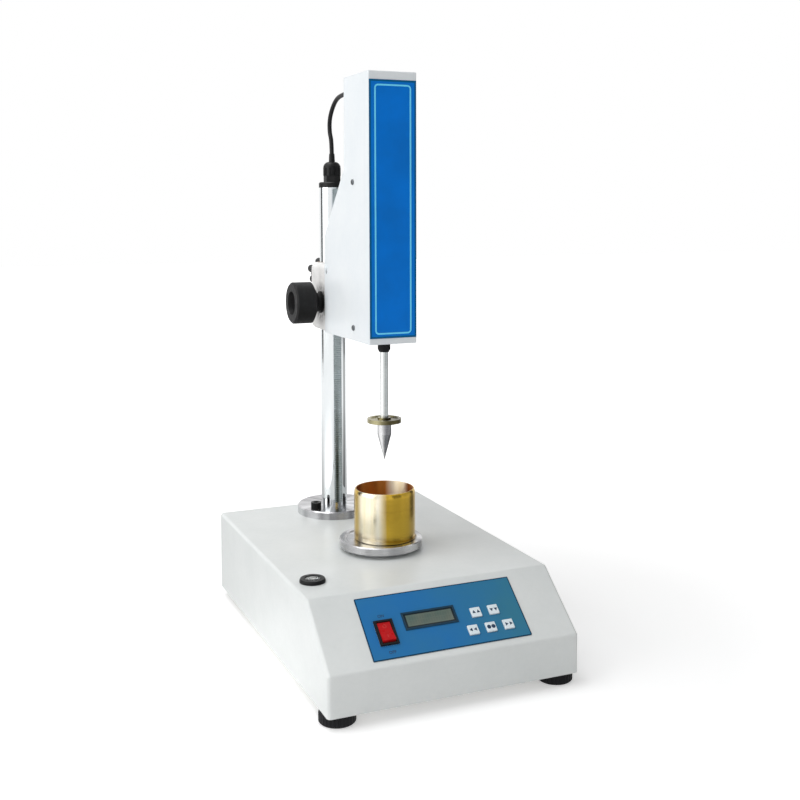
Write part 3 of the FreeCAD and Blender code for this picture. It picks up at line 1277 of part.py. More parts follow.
def carriage_block():
    """Cast sleeve round the column, with the tongue that the head's side plates are screwed to."""
    made = body("carriage_block")
    place(made, y=COLUMN_Y, z=CARRIAGE_BOTTOM)
    block_length = f"({COLUMN_Y} - {ARM_REAR} - sheet_gap)"
    sleeve = sketch(made)
    circle(sleeve, "0", "0", HEAD_INSIDE)
    pad(made, sleeve, "carriage_height")
    block = sketch(made)
    rectangle(block, "0", f"-{block_length} / 2", f"2 * {HEAD_INSIDE}", block_length)
    pad(made, block, "carriage_height")
    DOCUMENT.recompute()
    front = made.Tip.Shape.BoundBox.YMin
    height = size("carriage_height")
    dress(made, "Fillet", "carriage_edge",
          lambda edge: (level(edge, 2, 0) or level(edge, 2, height)) and not level(edge, 1, front))
    tongue_bottom = "(carriage_drop + sheet_gap)"
    tongue = sketch(made, lift=tongue_bottom)
    rectangle(tongue, "0", f"-{block_length} - tongue_length / 2 + carriage_edge / 2", f"2 * ({HEAD_INSIDE} - carriage_gap)",
              "tongue_length + carriage_edge")
    pad(made, tongue, f"carriage_height - tongue_drop - {tongue_bottom}")
    bore = sketch(made, lift="carriage_height")
    circle(bore, "0", "0", f"{BUSH_OUTER} + running_clearance")
    pocket(made, bore)
    axis_y = f"({KNOB_Y} - {COLUMN_Y})"
    axis_z = "(carriage_drop + knob_rise)"
    pinion_pocket = sketch(made, "YZ_Plane", "-(pinion_width / 2 + pinion_pocket_clearance)")
    circle(pinion_pocket, axis_y, axis_z, f"{PINION_TIP} + pinion_pocket_clearance")
    pocket(made, pinion_pocket, upwards=True)
    shaft_bore = sketch(made, "YZ_Plane")
    circle(shaft_bore, axis_y, axis_z, "shaft_radius + running_clearance")
    pocket(made, shaft_bore)
    lock_bore = sketch(made, "XZ_Plane")
    circle(lock_bore, "0", "carriage_drop + lock_rise", "lock_screw_radius + running_clearance")
    pocket(made, lock_bore)
    side_bores = sketch(made, "YZ_Plane")
    circle(side_bores, f"{ARM_REAR} - {COLUMN_Y} - rear_screw_inset", "carriage_drop + rear_screw_rise",
           "side_screw_radius + thread_clearance")
    pocket(made, side_bores, both_ways=True)


def carriage_bushes():
    """Two keyed bushes that run on the column, one at either end of the sleeve."""
    made = body("carriage_bushes")
    place(made, y=COLUMN_Y, z=CARRIAGE_BOTTOM)
    for lift in ("0", "carriage_height - bush_height"):
        ring = sketch(made, lift=lift)
        circle(ring, "0", "0", BUSH_OUTER)
        circle(ring, "0", "0", "column_radius + running_clearance")
        pad(made, ring, "bush_height")
    keyway = sketch(made, lift="carriage_height")
    reach = f"({RACK_TIP} + keyway_clearance)"
    rectangle(keyway, "0", f"-{reach} / 2", "rack_width + 2 * keyway_clearance", reach)
    pocket(made, keyway)


def knob_collar():
    """Collar on the carriage's left side that the lift knob runs against."""
    made = body("knob_collar")
    place(made, f"-{HEAD_INSIDE}", KNOB_Y, KNOB_Z, (0, 1, 0), "-90")
    bore = "shaft_radius + running_clearance"
    length = "collar_thickness + collar_neck_length"
    revolve(made, [
        (bore, "0"),
        ("collar_radius", "0"),
        ("collar_radius", "collar_thickness"),
        ("collar_neck_radius", "collar_thickness"),
        ("collar_neck_radius", length),
        (bore, length),
    ])


def pinion_cap():
    """Cap in the pinion's pocket, flush with the carriage's right side, with the shaft's other bearing."""
    made = body("pinion_cap")
    place(made, f"{HEAD_INSIDE} - pinion_cap_thickness", KNOB_Y, KNOB_Z, (0, 1, 0), "90")
    radius = f"{PINION_TIP} + pinion_pocket_clearance - pinion_cap_fit"
    bore = "shaft_radius + running_clearance"
    revolve(made, [
        (bore, "0"),
        (radius, "0"),
        (radius, "pinion_cap_thickness"),
        ("0", "pinion_cap_thickness"),
        ("0", "pinion_cap_thickness - pinion_cap_wall"),
        (bore, "pinion_cap_thickness - pinion_cap_wall"),
    ])


def involute(radius, base_radius):
    """Angle by which an involute flank has turned at a radius."""
    if radius <= base_radius:
        return 0.0
    pressure = math.acos(base_radius / radius)
    return math.tan(pressure) - pressure


def pinion_shaft():
    """Shaft with the pinion cut on it, one tooth standing in the rack's nearest gap."""
    module = size("gear_module")
    teeth = int(size("pinion_teeth"))
    pitch_radius = module * teeth / 2
    base_radius = pitch_radius * math.cos(math.radians(size("pressure_angle")))
    radii = [pitch_radius - module * (1 + size("gear_root_clearance")), base_radius, pitch_radius, pitch_radius + module]
    at_pitch = half_tooth() / pitch_radius + involute(pitch_radius, base_radius)
    flank = [(radius, at_pitch - involute(radius, base_radius)) for radius in radii]
    rack_height = size("head_rest") + size("knob_rise") - size("rack_start")
    rack_pitch = math.pi * module
    phase = (round(rack_height / rack_pitch) * rack_pitch - rack_height) / pitch_radius
    outline = []
    for tooth in range(teeth):
        middle = phase + math.tau * tooth / teeth
        outline += [(radius, middle - half) for radius, half in flank]
        outline += [(radius, middle + half) for radius, half in reversed(flank)]
    half_width = size("pinion_width") / 2
    ring = [FreeCAD.Vector(-half_width, r * math.cos(turn), r * math.sin(turn)) for r, turn in outline]
    gear = Part.Face(Part.makePolygon(ring + ring[:1])).extrude(FreeCAD.Vector(2 * half_width, 0, 0))
    inside = size("head_width") / 2 - size("head_wall")
    outer_end = inside + size("collar_thickness") + size("collar_neck_length") + size("knob_gap") + size("knob_bore_depth")
    inner_end = inside - size("pinion_cap_wall") - size("sheet_gap")
    start = FreeCAD.Vector(-outer_end, 0, 0)
    shaft = Part.makeCylinder(size("shaft_radius"), outer_end + inner_end, start, FreeCAD.Vector(1, 0, 0))
    made = shape_part("pinion_shaft", shaft.fuse(gear))
    place(made, y=KNOB_Y, z=KNOB_Z)


def lift_knob():
    """Turned knob with a tapered inner end and a dished face, pressed on the pinion's shaft."""
    made = body("lift_knob")
    place(made, f"-{KNOB_INNER_X}", KNOB_Y, KNOB_Z, (0, 1, 0), "-90")
    bore = "shaft_radius + knob_bore_clearance"
    revolve(made, [
        (bore, "0"),
        ("knob_hub_radius", "0"),
        ("knob_radius", "knob_taper"),
        ("knob_radius", "knob_length - knob_edge"),
        ("knob_radius - knob_edge", "knob_length"),
        ("knob_recess_radius + knob_recess_draft", "knob_length"),
        ("knob_recess_radius", "knob_length - knob_recess_depth"),
        ("0", "knob_length - knob_recess_depth"),
        ("0", "knob_bore_depth"),
        (bore, "knob_bore_depth"),
    ])


def lock_knob():
    """Star knob moulded on the screw that clamps the carriage to the column."""
    made = body("lock_knob")
    hub_start = f"({HEAD_INSIDE} + lock_gap)"
    head_start = f"({hub_start} + lock_hub_length)"
    screw_start = "(column_radius + lock_tip_gap)"
    place(made, y=COLUMN_Y, z=LOCK_Z, axis=(1, 0, 0), angle="-90")
    core = sketch(made, lift=head_start)
    circle(core, "0", "0", "lock_core_radius")
    pad(made, core, "lock_thickness")
    lobe = sketch(made, lift=head_start)
    reach = "(lock_radius - lock_lobe_radius)"
    circle(lobe, f"{reach} * cos(lock_first_lobe)", f"-{reach} * sin(lock_first_lobe)", "lock_lobe_radius")
    around(made, pad(made, lobe, "lock_thickness"), "lock_lobes")
    DOCUMENT.recompute()
    face = made.Tip.Shape.BoundBox.ZMax
    dress(made, "Fillet", "lock_edge", lambda edge: level(edge, 2, face))
    hub = sketch(made, lift=hub_start)
    circle(hub, "0", "0", "lock_hub_radius")
    pad(made, hub, "lock_hub_length + lock_thickness / 2")
    screw = sketch(made, lift=screw_start)
    circle(screw, "0", "0", "lock_screw_radius")
    pad(made, screw, f"{head_start} - {screw_start}")


# ---------------------------------------------------------------------------------------------------------------------
# Head housing
# ---------------------------------------------------------------------------------------------------------------------


def side_screw_places():
    """Screws on either side of the head: two into its frame, one into the carriage's tongue."""
    frame = f"{FRAME_Y} - side_screw_setback"
    return [
        (frame, f"{HEAD_BOTTOM} + side_screw_upper"),
        (frame, f"{HEAD_BOTTOM} + side_screw_lower"),
        (f"{ARM_REAR} - rear_screw_inset", f"{HEAD_BOTTOM} + rear_screw_rise"),
    ]


def head_housing():
    """Folded sheet: front, top and two side plates that run back to the carriage."""
    made = body("head_housing")
    side = sketch(made, "YZ_Plane")
    polygon(side, [
        (HEAD_FRONT, HEAD_BOTTOM),
        (ARM_REAR, HEAD_BOTTOM),
        (ARM_REAR, f"{HEAD_BOTTOM} + arm_top"),
        (HEAD_REAR, f"{HEAD_BOTTOM} + arm_shoulder"),
        (HEAD_REAR, HEAD_TOP),
        (HEAD_FRONT, HEAD_TOP),
    ])
    pad(made, side, "head_width", both_ways=True)
    DOCUMENT.recompute()
    box = made.Tip.Shape.BoundBox
    dress(made, "Fillet", "head_bend",
          lambda edge: level(edge, 1, box.YMin) and not level(edge, 2, box.ZMin))
    hollow = sketch(made, "YZ_Plane")
    polygon(hollow, [
        (f"{HEAD_FRONT} + head_wall", f"{HEAD_BOTTOM} - head_wall"),
        (f"{ARM_REAR} + head_wall", f"{HEAD_BOTTOM} - head_wall"),
        (f"{ARM_REAR} + head_wall", f"{HEAD_TOP} - head_wall"),
        (f"{HEAD_FRONT} + head_wall", f"{HEAD_TOP} - head_wall"),
    ])
    pocket(made, hollow, f"2 * {HEAD_INSIDE}", both_ways=True)
    holes = sketch(made, "YZ_Plane")
    for y, z in side_screw_places():
        circle(holes, y, z, "side_screw_radius + screw_clearance")
    pocket(made, holes, both_ways=True)


def head_back_cover():
    """Bent sheet between the side plates, from the top down to the carriage."""
    made = body("head_back_cover")
    outer = "cover_inset"
    inner = "(cover_inset + cover_thickness)"
    top = f"{HEAD_TOP} - head_wall - carriage_gap"
    low = f"{CARRIAGE_TOP} + sheet_gap"
    shoulder = f"{HEAD_BOTTOM} + arm_shoulder"
    elbow = f"{HEAD_BOTTOM} + arm_top"
    side = sketch(made, "YZ_Plane")
    polygon(side, [
        (f"{HEAD_REAR} - {outer}", top),
        (f"{HEAD_REAR} - {outer}", f"{shoulder} - {outer} * {ARM_SHIFT}"),
        (f"{ARM_REAR} - {outer}", f"{elbow} - {outer} * {ARM_SHIFT}"),
        (f"{ARM_REAR} - {outer}", low),
        (f"{ARM_REAR} - {inner}", low),
        (f"{ARM_REAR} - {inner}", f"{elbow} - {inner} * {ARM_SHIFT}"),
        (f"{HEAD_REAR} - {inner}", f"{shoulder} - {inner} * {ARM_SHIFT}"),
        (f"{HEAD_REAR} - {inner}", top),
    ])
    pad(made, side, f"2 * ({HEAD_INSIDE} - carriage_gap)", both_ways=True)
    entry = sketch(made, "XZ_Plane", f"-{HEAD_REAR}")
    circle(entry, "0", f"{HEAD_TOP} - grommet_drop", "grommet_neck_radius + running_clearance")
    pocket(made, entry, f"2 * {inner}", upwards=True)


def cable_grommet():
    """Grommet in the back cover, with the bore that the cable goes into."""
    made = body("cable_grommet")
    place(made, y=f"{HEAD_REAR} - cover_inset", z=f"{HEAD_TOP} - grommet_drop", axis=(1, 0, 0), angle="-90")
    bore = "cable_radius + grommet_clearance"
    neck = "(cover_thickness + grommet_flange)"
    revolve(made, [
        (bore, "grommet_flange"),
        ("grommet_radius", "grommet_flange"),
        ("grommet_radius", "0"),
        ("grommet_neck_radius", "0"),
        ("grommet_neck_radius", f"-{neck}"),
        (bore, f"-{neck}"),
    ])


def head_bottom_plate():
    """Plate that closes the head below and carries the frame and the spindle's bush."""
    made = body("head_bottom_plate")
    place(made, z=f"{HEAD_BOTTOM} + carriage_gap")
    front = f"({HEAD_FRONT} + head_wall + sheet_gap)"
    rear = f"({ARM_REAR} - tongue_length)"
    sheet = sketch(made)
    rectangle(sheet, "0", f"({front} + {rear}) / 2", f"2 * ({HEAD_INSIDE} - carriage_gap)", f"{rear} - {front}")
    pad(made, sheet, "head_plate_thickness")
    hole = sketch(made, lift="head_plate_thickness")
    circle(hole, "0", SPINDLE_Y, "spindle_bush_radius + running_clearance")
    pocket(made, hole)


def head_label():
    """Label over nearly all of the head's front."""
    made = body("head_label")
    place(made, y=HEAD_FRONT)
    film = sketch(made, "XZ_Plane")
    rectangle(film, "0", f"{HEAD_BOTTOM} + label_bottom + label_height / 2", "head_width - 2 * label_margin", "label_height")
    pad(made, film, "label_thickness")


def head_side_screws():
    """Pan-head screws through the side plates, on both sides."""
    made = body("head_side_screws")
    for side in ("", "-"):
        shanks = sketch(made, "YZ_Plane", f"{side}(head_width / 2 - side_screw_length)")
        heads = sketch(made, "YZ_Plane", f"{side}(head_width / 2)")
        for y, z in side_screw_places():
            circle(shanks, y, z, "side_screw_radius")
            circle(heads, y, z, "side_screw_head_radius")
        pad(made, shanks, "side_screw_length + side_screw_head_height / 2", downwards=bool(side))
        pad(made, heads, "side_screw_head_height", downwards=bool(side))


# ---------------------------------------------------------------------------------------------------------------------
# Inside the head
# ---------------------------------------------------------------------------------------------------------------------


def head_frame():
    """Channel that stands on the bottom plate, with a shelf on top that the magnet hangs from."""
    made = body("head_frame")
    place(made, y=FRAME_Y, z=HEAD_PLATE_TOP)
    half = f"({HEAD_INSIDE} - carriage_gap)"
    inner = f"({half} - frame_thickness)"
    height = f"({SHELF_TOP} - {HEAD_PLATE_TOP})"
    channel = sketch(made)
    polygon(channel, [
        (f"-{half}", "-frame_flange"),
        (f"-{inner}", "-frame_flange"),
        (f"-{inner}", "0"),
        (inner, "0"),
        (inner, "-frame_flange"),
        (half, "-frame_flange"),
        (half, "frame_thickness"),
        (f"-{half}", "frame_thickness"),
    ])
    pad(made, channel, height)
    shelf = sketch(made, lift=height)
    rectangle(shelf, "0", "(frame_thickness - frame_shelf_length) / 2", f"2 * {half}", "frame_thickness + frame_shelf_length")
    pad(made, shelf, "frame_thickness", downwards=True)
    taps = sketch(made, "YZ_Plane")
    for y, z in side_screw_places()[:2]:
        circle(taps, f"{y} - {FRAME_Y}", f"{z} - {HEAD_PLATE_TOP}", "side_screw_radius + thread_clearance")
    pocket(made, taps, both_ways=True)


def spindle_bearings():
    """Bush in the bottom plate, and the upper guide block on the frame."""
    bush = body("spindle_bush")
    place(bush, y=SPINDLE_Y, z=f"{HEAD_BOTTOM} - spindle_bush_drop")
    bore = "spindle_radius + running_clearance"
    flange = f"({HEAD_PLATE_TOP} - {HEAD_BOTTOM} + spindle_bush_drop)"
    revolve(bush, [
        (bore, "0"),
        ("spindle_bush_radius - spindle_bush_taper / 2", "0"),
        ("spindle_bush_radius", "spindle_bush_taper"),
        ("spindle_bush_radius", flange),
        ("spindle_bush_flange", flange),
        ("spindle_bush_flange", f"{flange} + spindle_bush_flange_thickness"),
        ("spindle_bush_radius", f"{flange} + spindle_bush_flange_thickness"),
        ("spindle_bush_radius", "spindle_bush_length"),
        (bore, "spindle_bush_length"),
    ])
    guide = body("spindle_guide")
    place(guide, y=SPINDLE_Y, z=f"{HEAD_BOTTOM} + guide_rise")
    block = sketch(guide)
    rectangle(block, "0", "(frame_setback - guide_front) / 2", "guide_width", "frame_setback + guide_front")
    pad(guide, block, "guide_height")
    hole = sketch(guide, lift="guide_height")
    circle(hole, "0", "0", bore)
    pocket(guide, hole)


def electromagnet():
    """Holding magnet under the frame's shelf."""
    made = body("electromagnet")
    place(made, y=SPINDLE_Y, z=f"{MAGNET_TOP} - magnet_height")
    drum = sketch(made)
    circle(drum, "0", "0", "magnet_radius")
    pad(made, drum, "magnet_height")


def displacement_sensor():
    """Block on the frame that the scale slides through."""
    made = body("displacement_sensor")
    place(made, "scale_x", SPINDLE_Y, f"{STOP_TOP} + spindle_travel + sensor_gap")
    block = sketch(made)
    rectangle(block, "0", "(frame_setback - sensor_front) / 2", "sensor_width", "frame_setback + sensor_front")
    pad(made, block, "sensor_height")
    slot = sketch(made, lift="sensor_height")
    reach = "(sensor_front + stop_arm_width)"
    rectangle(slot, "0", f"stop_arm_width - {reach} / 2", "sensor_slot", reach)
    pocket(made, slot)


def head_board():
    """Sensor board on posts behind the frame."""
    made = body("head_board")
    place(made, y=f"{FRAME_Y} + frame_thickness", z=f"{HEAD_BOTTOM} + head_board_rise + head_board_length / 2",
          axis=(1, 0, 0), angle="-90")
    board = sketch(made, lift="head_board_lift")
    rectangle(board, "0", "0", "head_board_width", "head_board_length")
    pad(made, board, "board_thickness")
    posts = sketch(made)
    across = "(head_board_width / 2 - board_post_inset)"
    along_z = "(head_board_length / 2 - board_post_inset)"
    for x in (f"-{across}", across):
        for y in (f"-{along_z}", along_z):
            circle(posts, x, y, "board_post_radius")
    pad(made, posts, "head_board_lift + board_thickness / 2")


# ---------------------------------------------------------------------------------------------------------------------
# Spindle
# ---------------------------------------------------------------------------------------------------------------------


def spindle_rod():
    """Ground rod from the balance disc up to the armature."""
    made = body("spindle_rod")
    bottom = f"({DISC_BOTTOM} + disc_height - disc_recess + disc_hub_rise - disc_bore_depth)"
    place(made, y=SPINDLE_Y, z=bottom)
    section = sketch(made)
    circle(section, "0", "0", "spindle_radius")
    pad(made, section, f"{ARMATURE_BOTTOM} - {bottom}")


def stop_collar():
    """Collar that rests on the guide, with the arm that carries the scale."""
    made = body("stop_collar")
    place(made, y=SPINDLE_Y, z=f"{GUIDE_TOP} + stop_gap")
    ring = sketch(made)
    circle(ring, "0", "0", "stop_radius")
    pad(made, ring, "stop_height")
    arm = sketch(made, lift="stop_height / 2")
    rectangle(arm, "stop_arm / 2", "0", "stop_arm", "stop_arm_width")
    pad(made, arm, "stop_height / 2")
    bore = sketch(made, lift="stop_height")
    circle(bore, "0", "0", "spindle_radius + stop_fit")
    pocket(made, bore)


def sensor_scale():
    """Scale that stands on the collar's arm and runs in the sensor's slot."""
    made = body("sensor_scale")
    place(made, "scale_x", SPINDLE_Y, STOP_TOP)
    strip = sketch(made)
    rectangle(strip, "0", "0", "scale_thickness", "stop_arm_width")
    pad(made, strip, f"{ARMATURE_BOTTOM} - {STOP_TOP}")


def armature():
    """Iron disc on the rod's upper end that the magnet holds."""
    made = body("armature")
    place(made, y=SPINDLE_Y, z=ARMATURE_BOTTOM)
    plate = sketch(made)
    circle(plate, "0", "0", "armature_radius")
    pad(made, plate, "armature_height")


def balance_disc():
    """Dished brass disc with the hub that joins the rod to the cone."""
    made = body("balance_disc")
    place(made, y=SPINDLE_Y, z=DISC_BOTTOM)
    web = "(disc_height - disc_recess)"
    hub_top = f"({web} + disc_hub_rise)"
    bore = "spindle_radius + stop_fit"
    seat = f"({hub_top} - disc_bore_depth)"
    revolve(made, [
        ("0", "-disc_hub_drop"),
        ("disc_hub_radius", "-disc_hub_drop"),
        ("disc_hub_radius", "0"),
        ("disc_radius", "0"),
        ("disc_radius", "disc_height"),
        ("disc_radius - disc_rim", "disc_height"),
        ("disc_radius - disc_rim - disc_recess", web),
        ("disc_hub_radius", web),
        ("disc_hub_radius", hub_top),
        (bore, hub_top),
        (bore, seat),
        ("0", seat),
    ])


def cone():
    """Penetration cone under the balance disc's hub."""
    made = body("cone")
    place(made, y=SPINDLE_Y, z=f"{DISC_BOTTOM} - disc_hub_drop")
    revolve(made, [
        ("0", "-cone_shoulder - cone_radius / tan(cone_half_angle)"),
        ("cone_radius", "-cone_shoulder"),
        ("cone_radius", "-cone_chamfer"),
        ("cone_radius - cone_chamfer", "0"),
        ("0", "0"),
    ])


# ---------------------------------------------------------------------------------------------------------------------
# Build, check and write
# ---------------------------------------------------------------------------------------------------------------------

BUILDERS = (
    base_casing, base_plate, base_plate_screws, foot_nuts, bubble_level, control_panel, display, panel_board,
    power_switch, main_board, transformer, mains_inlet, cup_stage, sample_cup, column_flange, flange_screws,
    column_tube, column_rack, column_cap, cable_gland, carriage_block, carriage_bushes, knob_collar, pinion_cap,
    pinion_shaft, lift_knob, lock_knob, head_housing, head_back_cover, cable_grommet, head_cable, head_bottom_plate,
    head_label, head_side_screws, head_frame, spindle_bearings, electromagnet, displacement_sensor, head_board,
    spindle_rod, stop_collar, sensor_scale, armature, balance_disc, cone,
)


def check(objects):
    """Stop on any object that failed to compute, and on any sub-part without a sound solid."""
    for made in objects:
        if {"Invalid", "Error"} & set(made.State):
            raise RuntimeError(f"{made.Name} failed: {made.State}")
    for made in PARTS:
        if made.Shape.isNull() or not made.Shape.isValid() or not made.Shape.Solids:
            raise RuntimeError(f"{made.Label} has no sound solid")


def main():
    """Build every sub-part, check them, and write each to its own file."""
    fill_sheet()
    for build in BUILDERS:
        build()
    for label, x, y in FEET:
        levelling_foot(f"levelling_{label}", x, y)
    for label, x, drop in KEYS:
        key(label, x, drop)
    DOCUMENT.recompute()
    check(DOCUMENT.Objects)
    os.makedirs("parts", exist_ok=True)
    for made in PARTS:
        made.Shape.exportStep(f"parts/{made.Label}.step")
    print("sub-parts", len(PARTS))


main()
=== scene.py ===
"""Liquid limit device: finishes, small fittings, head cable, camera and studio light.

All sizes are metres in the model's own frame: X to the operator's right, Y away from the operator, Z up,
bench at zero.
"""

import logging
import math
from collections.abc import Callable, Iterator, Sequence
from contextlib import contextmanager
from dataclasses import dataclass
from enum import Enum
from functools import cached_property

import bmesh
import bpy
from mathutils import Matrix, Vector


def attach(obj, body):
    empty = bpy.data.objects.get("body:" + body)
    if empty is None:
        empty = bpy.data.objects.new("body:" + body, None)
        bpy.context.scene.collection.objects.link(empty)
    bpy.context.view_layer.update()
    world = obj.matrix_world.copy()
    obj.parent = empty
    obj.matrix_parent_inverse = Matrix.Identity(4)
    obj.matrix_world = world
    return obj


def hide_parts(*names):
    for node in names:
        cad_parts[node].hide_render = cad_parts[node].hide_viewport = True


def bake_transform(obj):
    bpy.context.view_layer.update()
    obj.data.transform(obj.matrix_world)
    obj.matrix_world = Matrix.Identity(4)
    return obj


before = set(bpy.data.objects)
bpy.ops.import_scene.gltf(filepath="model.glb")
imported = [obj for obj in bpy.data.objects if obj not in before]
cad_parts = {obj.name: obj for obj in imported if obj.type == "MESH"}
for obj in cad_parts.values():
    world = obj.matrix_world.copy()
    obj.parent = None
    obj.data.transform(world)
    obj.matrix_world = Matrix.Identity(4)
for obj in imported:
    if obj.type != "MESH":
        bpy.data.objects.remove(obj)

LOG = logging.getLogger("liquid_limit_device")
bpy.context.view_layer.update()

NEAR = 1e-6  # Levels closer than this count as one.
INK_DEPTH = 0.00008  # Thickness of print, a little more than real so that it stands clear of its ground.
UNIT = (1.0, 1.0, 1.0)

Point = tuple[float, float, float]
Pair = tuple[float, float]
Inputs = dict[str | int, object]
Test = Callable[[Vector, Vector], bool]
Piece = bpy.types.Object
Socket = bpy.types.NodeSocket


# ----------------------------------------------------------------------------------------------------------
# Modelling helpers
# ----------------------------------------------------------------------------------------------------------


def hold(*pieces: Piece) -> None:
    """Select only these pieces and make the first one active.

    Args:
        pieces: Pieces that the next operator works on.
    """
    bpy.ops.object.select_all(action="DESELECT")
    for piece in pieces:
        piece.select_set(True)
    bpy.context.view_layer.objects.active = pieces[0]


def facing_up(spot: Vector, normal: Vector) -> bool:
    """Tell whether a face looks up."""
    return normal.z > 0.9


def facing_either(spot: Vector, normal: Vector) -> bool:
    """Tell whether a face looks up or down."""
    return abs(normal.z) > 0.9


@contextmanager
def editing(piece: Piece, wanted: Test | None = None, kind: str = "FACE") -> Iterator[None]:
    """Open a piece in edit mode with some or all of it selected, and close it afterwards.

    Args:
        piece: Mesh to edit.
        wanted: Test on a face's middle and normal or on an edge's two ends, or none to select everything.
        kind: VERT, EDGE or FACE selection.

    Yields:
        Nothing.
    """
    hold(piece)
    bpy.ops.object.mode_set(mode="EDIT")
    bpy.ops.mesh.select_mode(type=kind)
    bpy.ops.mesh.select_all(action="DESELECT" if wanted else "SELECT")
    if wanted:
        mesh = bmesh.from_edit_mesh(piece.data)
        if kind == "FACE":
            for face in mesh.faces:
                face.select_set(wanted(face.calc_center_median(), face.normal))
        else:
            for edge in mesh.edges:
                edge.select_set(wanted(edge.verts[0].co, edge.verts[1].co))
        mesh.select_flush_mode()
        bmesh.update_edit_mesh(piece.data)
    try:
        yield
    finally:
        bpy.ops.object.mode_set(mode="OBJECT")


def start(name: str, operator: Callable[..., set[str]], scale: Point = UNIT, **settings: object) -> Piece:
    """Start a piece from a primitive, with its place and scale put into its mesh.

    Args:
        name: Piece name.
        operator: Operator that adds the primitive.
        scale: Scale of the primitive along X, Y and Z.
        settings: Options of the operator.

    Returns:
        The new piece.
    """
    bpy.ops.object.select_all(action="DESELECT")
    operator(**settings)
    piece = bpy.context.object
    piece.name = name
    piece.scale = scale
    bpy.ops.object.transform_apply(location=True, rotation=True, scale=True)
    return piece


def cylinder(name: str, radius: float, depth: float, middle: Point, sides: int = 48) -> Piece:
    """Start a turned piece from a cylinder along Z."""
    add = bpy.ops.mesh.primitive_cylinder_add
    return start(name, add, vertices=sides, radius=radius, depth=depth, location=middle)


def block(name: str, size: Point, middle: Point) -> Piece:
    """Start a square piece from a cube."""
    return start(name, bpy.ops.mesh.primitive_cube_add, size, size=1.0, location=middle)


def sheet(name: str, width: float, height: float) -> Piece:
    """Start a flat piece from a plane in XY about the origin."""
    return start(name, bpy.ops.mesh.primitive_plane_add, (width, height, 1.0), size=1.0)


def thicken(piece: Piece, depth: float) -> None:
    """Pull a flat piece up by its thickness and close it.

    Args:
        piece: Flat mesh facing up.
        depth: Thickness along Z.
    """
    with editing(piece):
        bpy.ops.mesh.extrude_region_move(TRANSFORM_OT_translate={"value": (0.0, 0.0, depth)})
        bpy.ops.mesh.select_all(action="SELECT")
        bpy.ops.mesh.normals_make_consistent(inside=False)


def round_rim(piece: Piece, level: float, width: float, segments: int) -> None:
    """Round the edges of a piece that lie at one level.

    Args:
        piece: Mesh to round.
        level: Height of the edges.
        width: Width of the rounding.
        segments: Faces across the rounding.
    """
    with editing(piece, lambda a, b: abs(a.z - level) < NEAR and abs(b.z - level) < NEAR, "EDGE"):
        bpy.ops.mesh.bevel(offset=width, segments=segments, affect="EDGES")


def open_ring(piece: Piece, wall: float) -> None:
    """Cut the middle out of a disc.

    Args:
        piece: Disc about Z.
        wall: Width of the ring that stays.
    """
    with editing(piece, facing_either):
        bpy.ops.mesh.inset(thickness=wall)
        bpy.ops.mesh.bridge_edge_loops()


def apply_modifier(piece: Piece, kind: str, **settings: object) -> None:
    """Add a modifier to a piece and apply it.

    Args:
        piece: Piece that gets the modifier.
        kind: Blender's name of the modifier type.
        settings: Options of the modifier.
    """
    hold(piece)
    bpy.ops.object.modifier_add(type=kind)
    modifier = piece.modifiers[-1]
    for key, value in settings.items():
        setattr(modifier, key, value)
    bpy.ops.object.modifier_apply(modifier=modifier.name)


def copies(piece: Piece, places: Sequence[Matrix], name: str) -> Piece:
    """Repeat a piece at several places, each copy with its own mesh, and join them.

    Args:
        piece: Piece drawn about the origin; it becomes the first copy.
        places: Place of each copy.
        name: Name of the joined piece.

    Returns:
        The joined piece.
    """
    made = []
    for place in places[1:]:
        twin = enter(name, piece.data.copy())
        twin.data.transform(place)
        made.append(twin)
    piece.data.transform(places[0])
    hold(piece, *made)
    bpy.ops.object.join()
    piece.name = name
    piece.data.name = name
    return piece


def enter(name: str, data: bpy.types.ID) -> Piece:
    """Put new data into the scene as an object.

    Args:
        name: Name of the object.
        data: Mesh, curve, camera or lamp.

    Returns:
        The object.
    """
    made = bpy.data.objects.new(name, data)
    bpy.context.scene.collection.objects.link(made)
    return made


def settle(piece: Piece, place: Matrix | None = None, smooth: float = 35.0) -> Piece:
    """Put a piece's place into its mesh and smooth its shading.

    Args:
        piece: Piece to finish.
        place: Place of the piece's drawing frame, or none where it is already in place.
        smooth: Largest angle between faces that still shades smooth, in degrees.

    Returns:
        The piece.
    """
    if place is not None:
        piece.matrix_world = place @ piece.matrix_world
    hold(piece)
    bpy.ops.object.transform_apply(location=True, rotation=True, scale=True)
    bpy.ops.object.shade_smooth_by_angle(angle=math.radians(smooth))
    return piece


def fit(piece: Piece, finish: "Finish", body: str, slot: str, *stands_for: str) -> Piece:
    """Dress a finished piece and fix it to its body.

    Args:
        piece: Piece at its place.
        finish: Finish of its surface.
        body: Body that it moves with.
        slot: Material slot of the record; not used.
        stands_for: Nodes that it takes the place of.

    Returns:
        The piece.
    """
    piece.data.materials.clear()
    piece.data.materials.append(finish.material())
    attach(piece, body)
    if stands_for:
        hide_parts(*stands_for)
    return piece


def dress(finish: "Finish", *nodes: str) -> None:
    """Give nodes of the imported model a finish.

    Args:
        finish: Finish of their surface.
        nodes: Node names.
    """
    for node in nodes:
        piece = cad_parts[node]
        if not piece.material_slots:
            piece.data.materials.append(finish.material())
        for slot in piece.material_slots:
            slot.material = finish.material()


# ----------------------------------------------------------------------------------------------------------
# Drawing of materials
# ----------------------------------------------------------------------------------------------------------


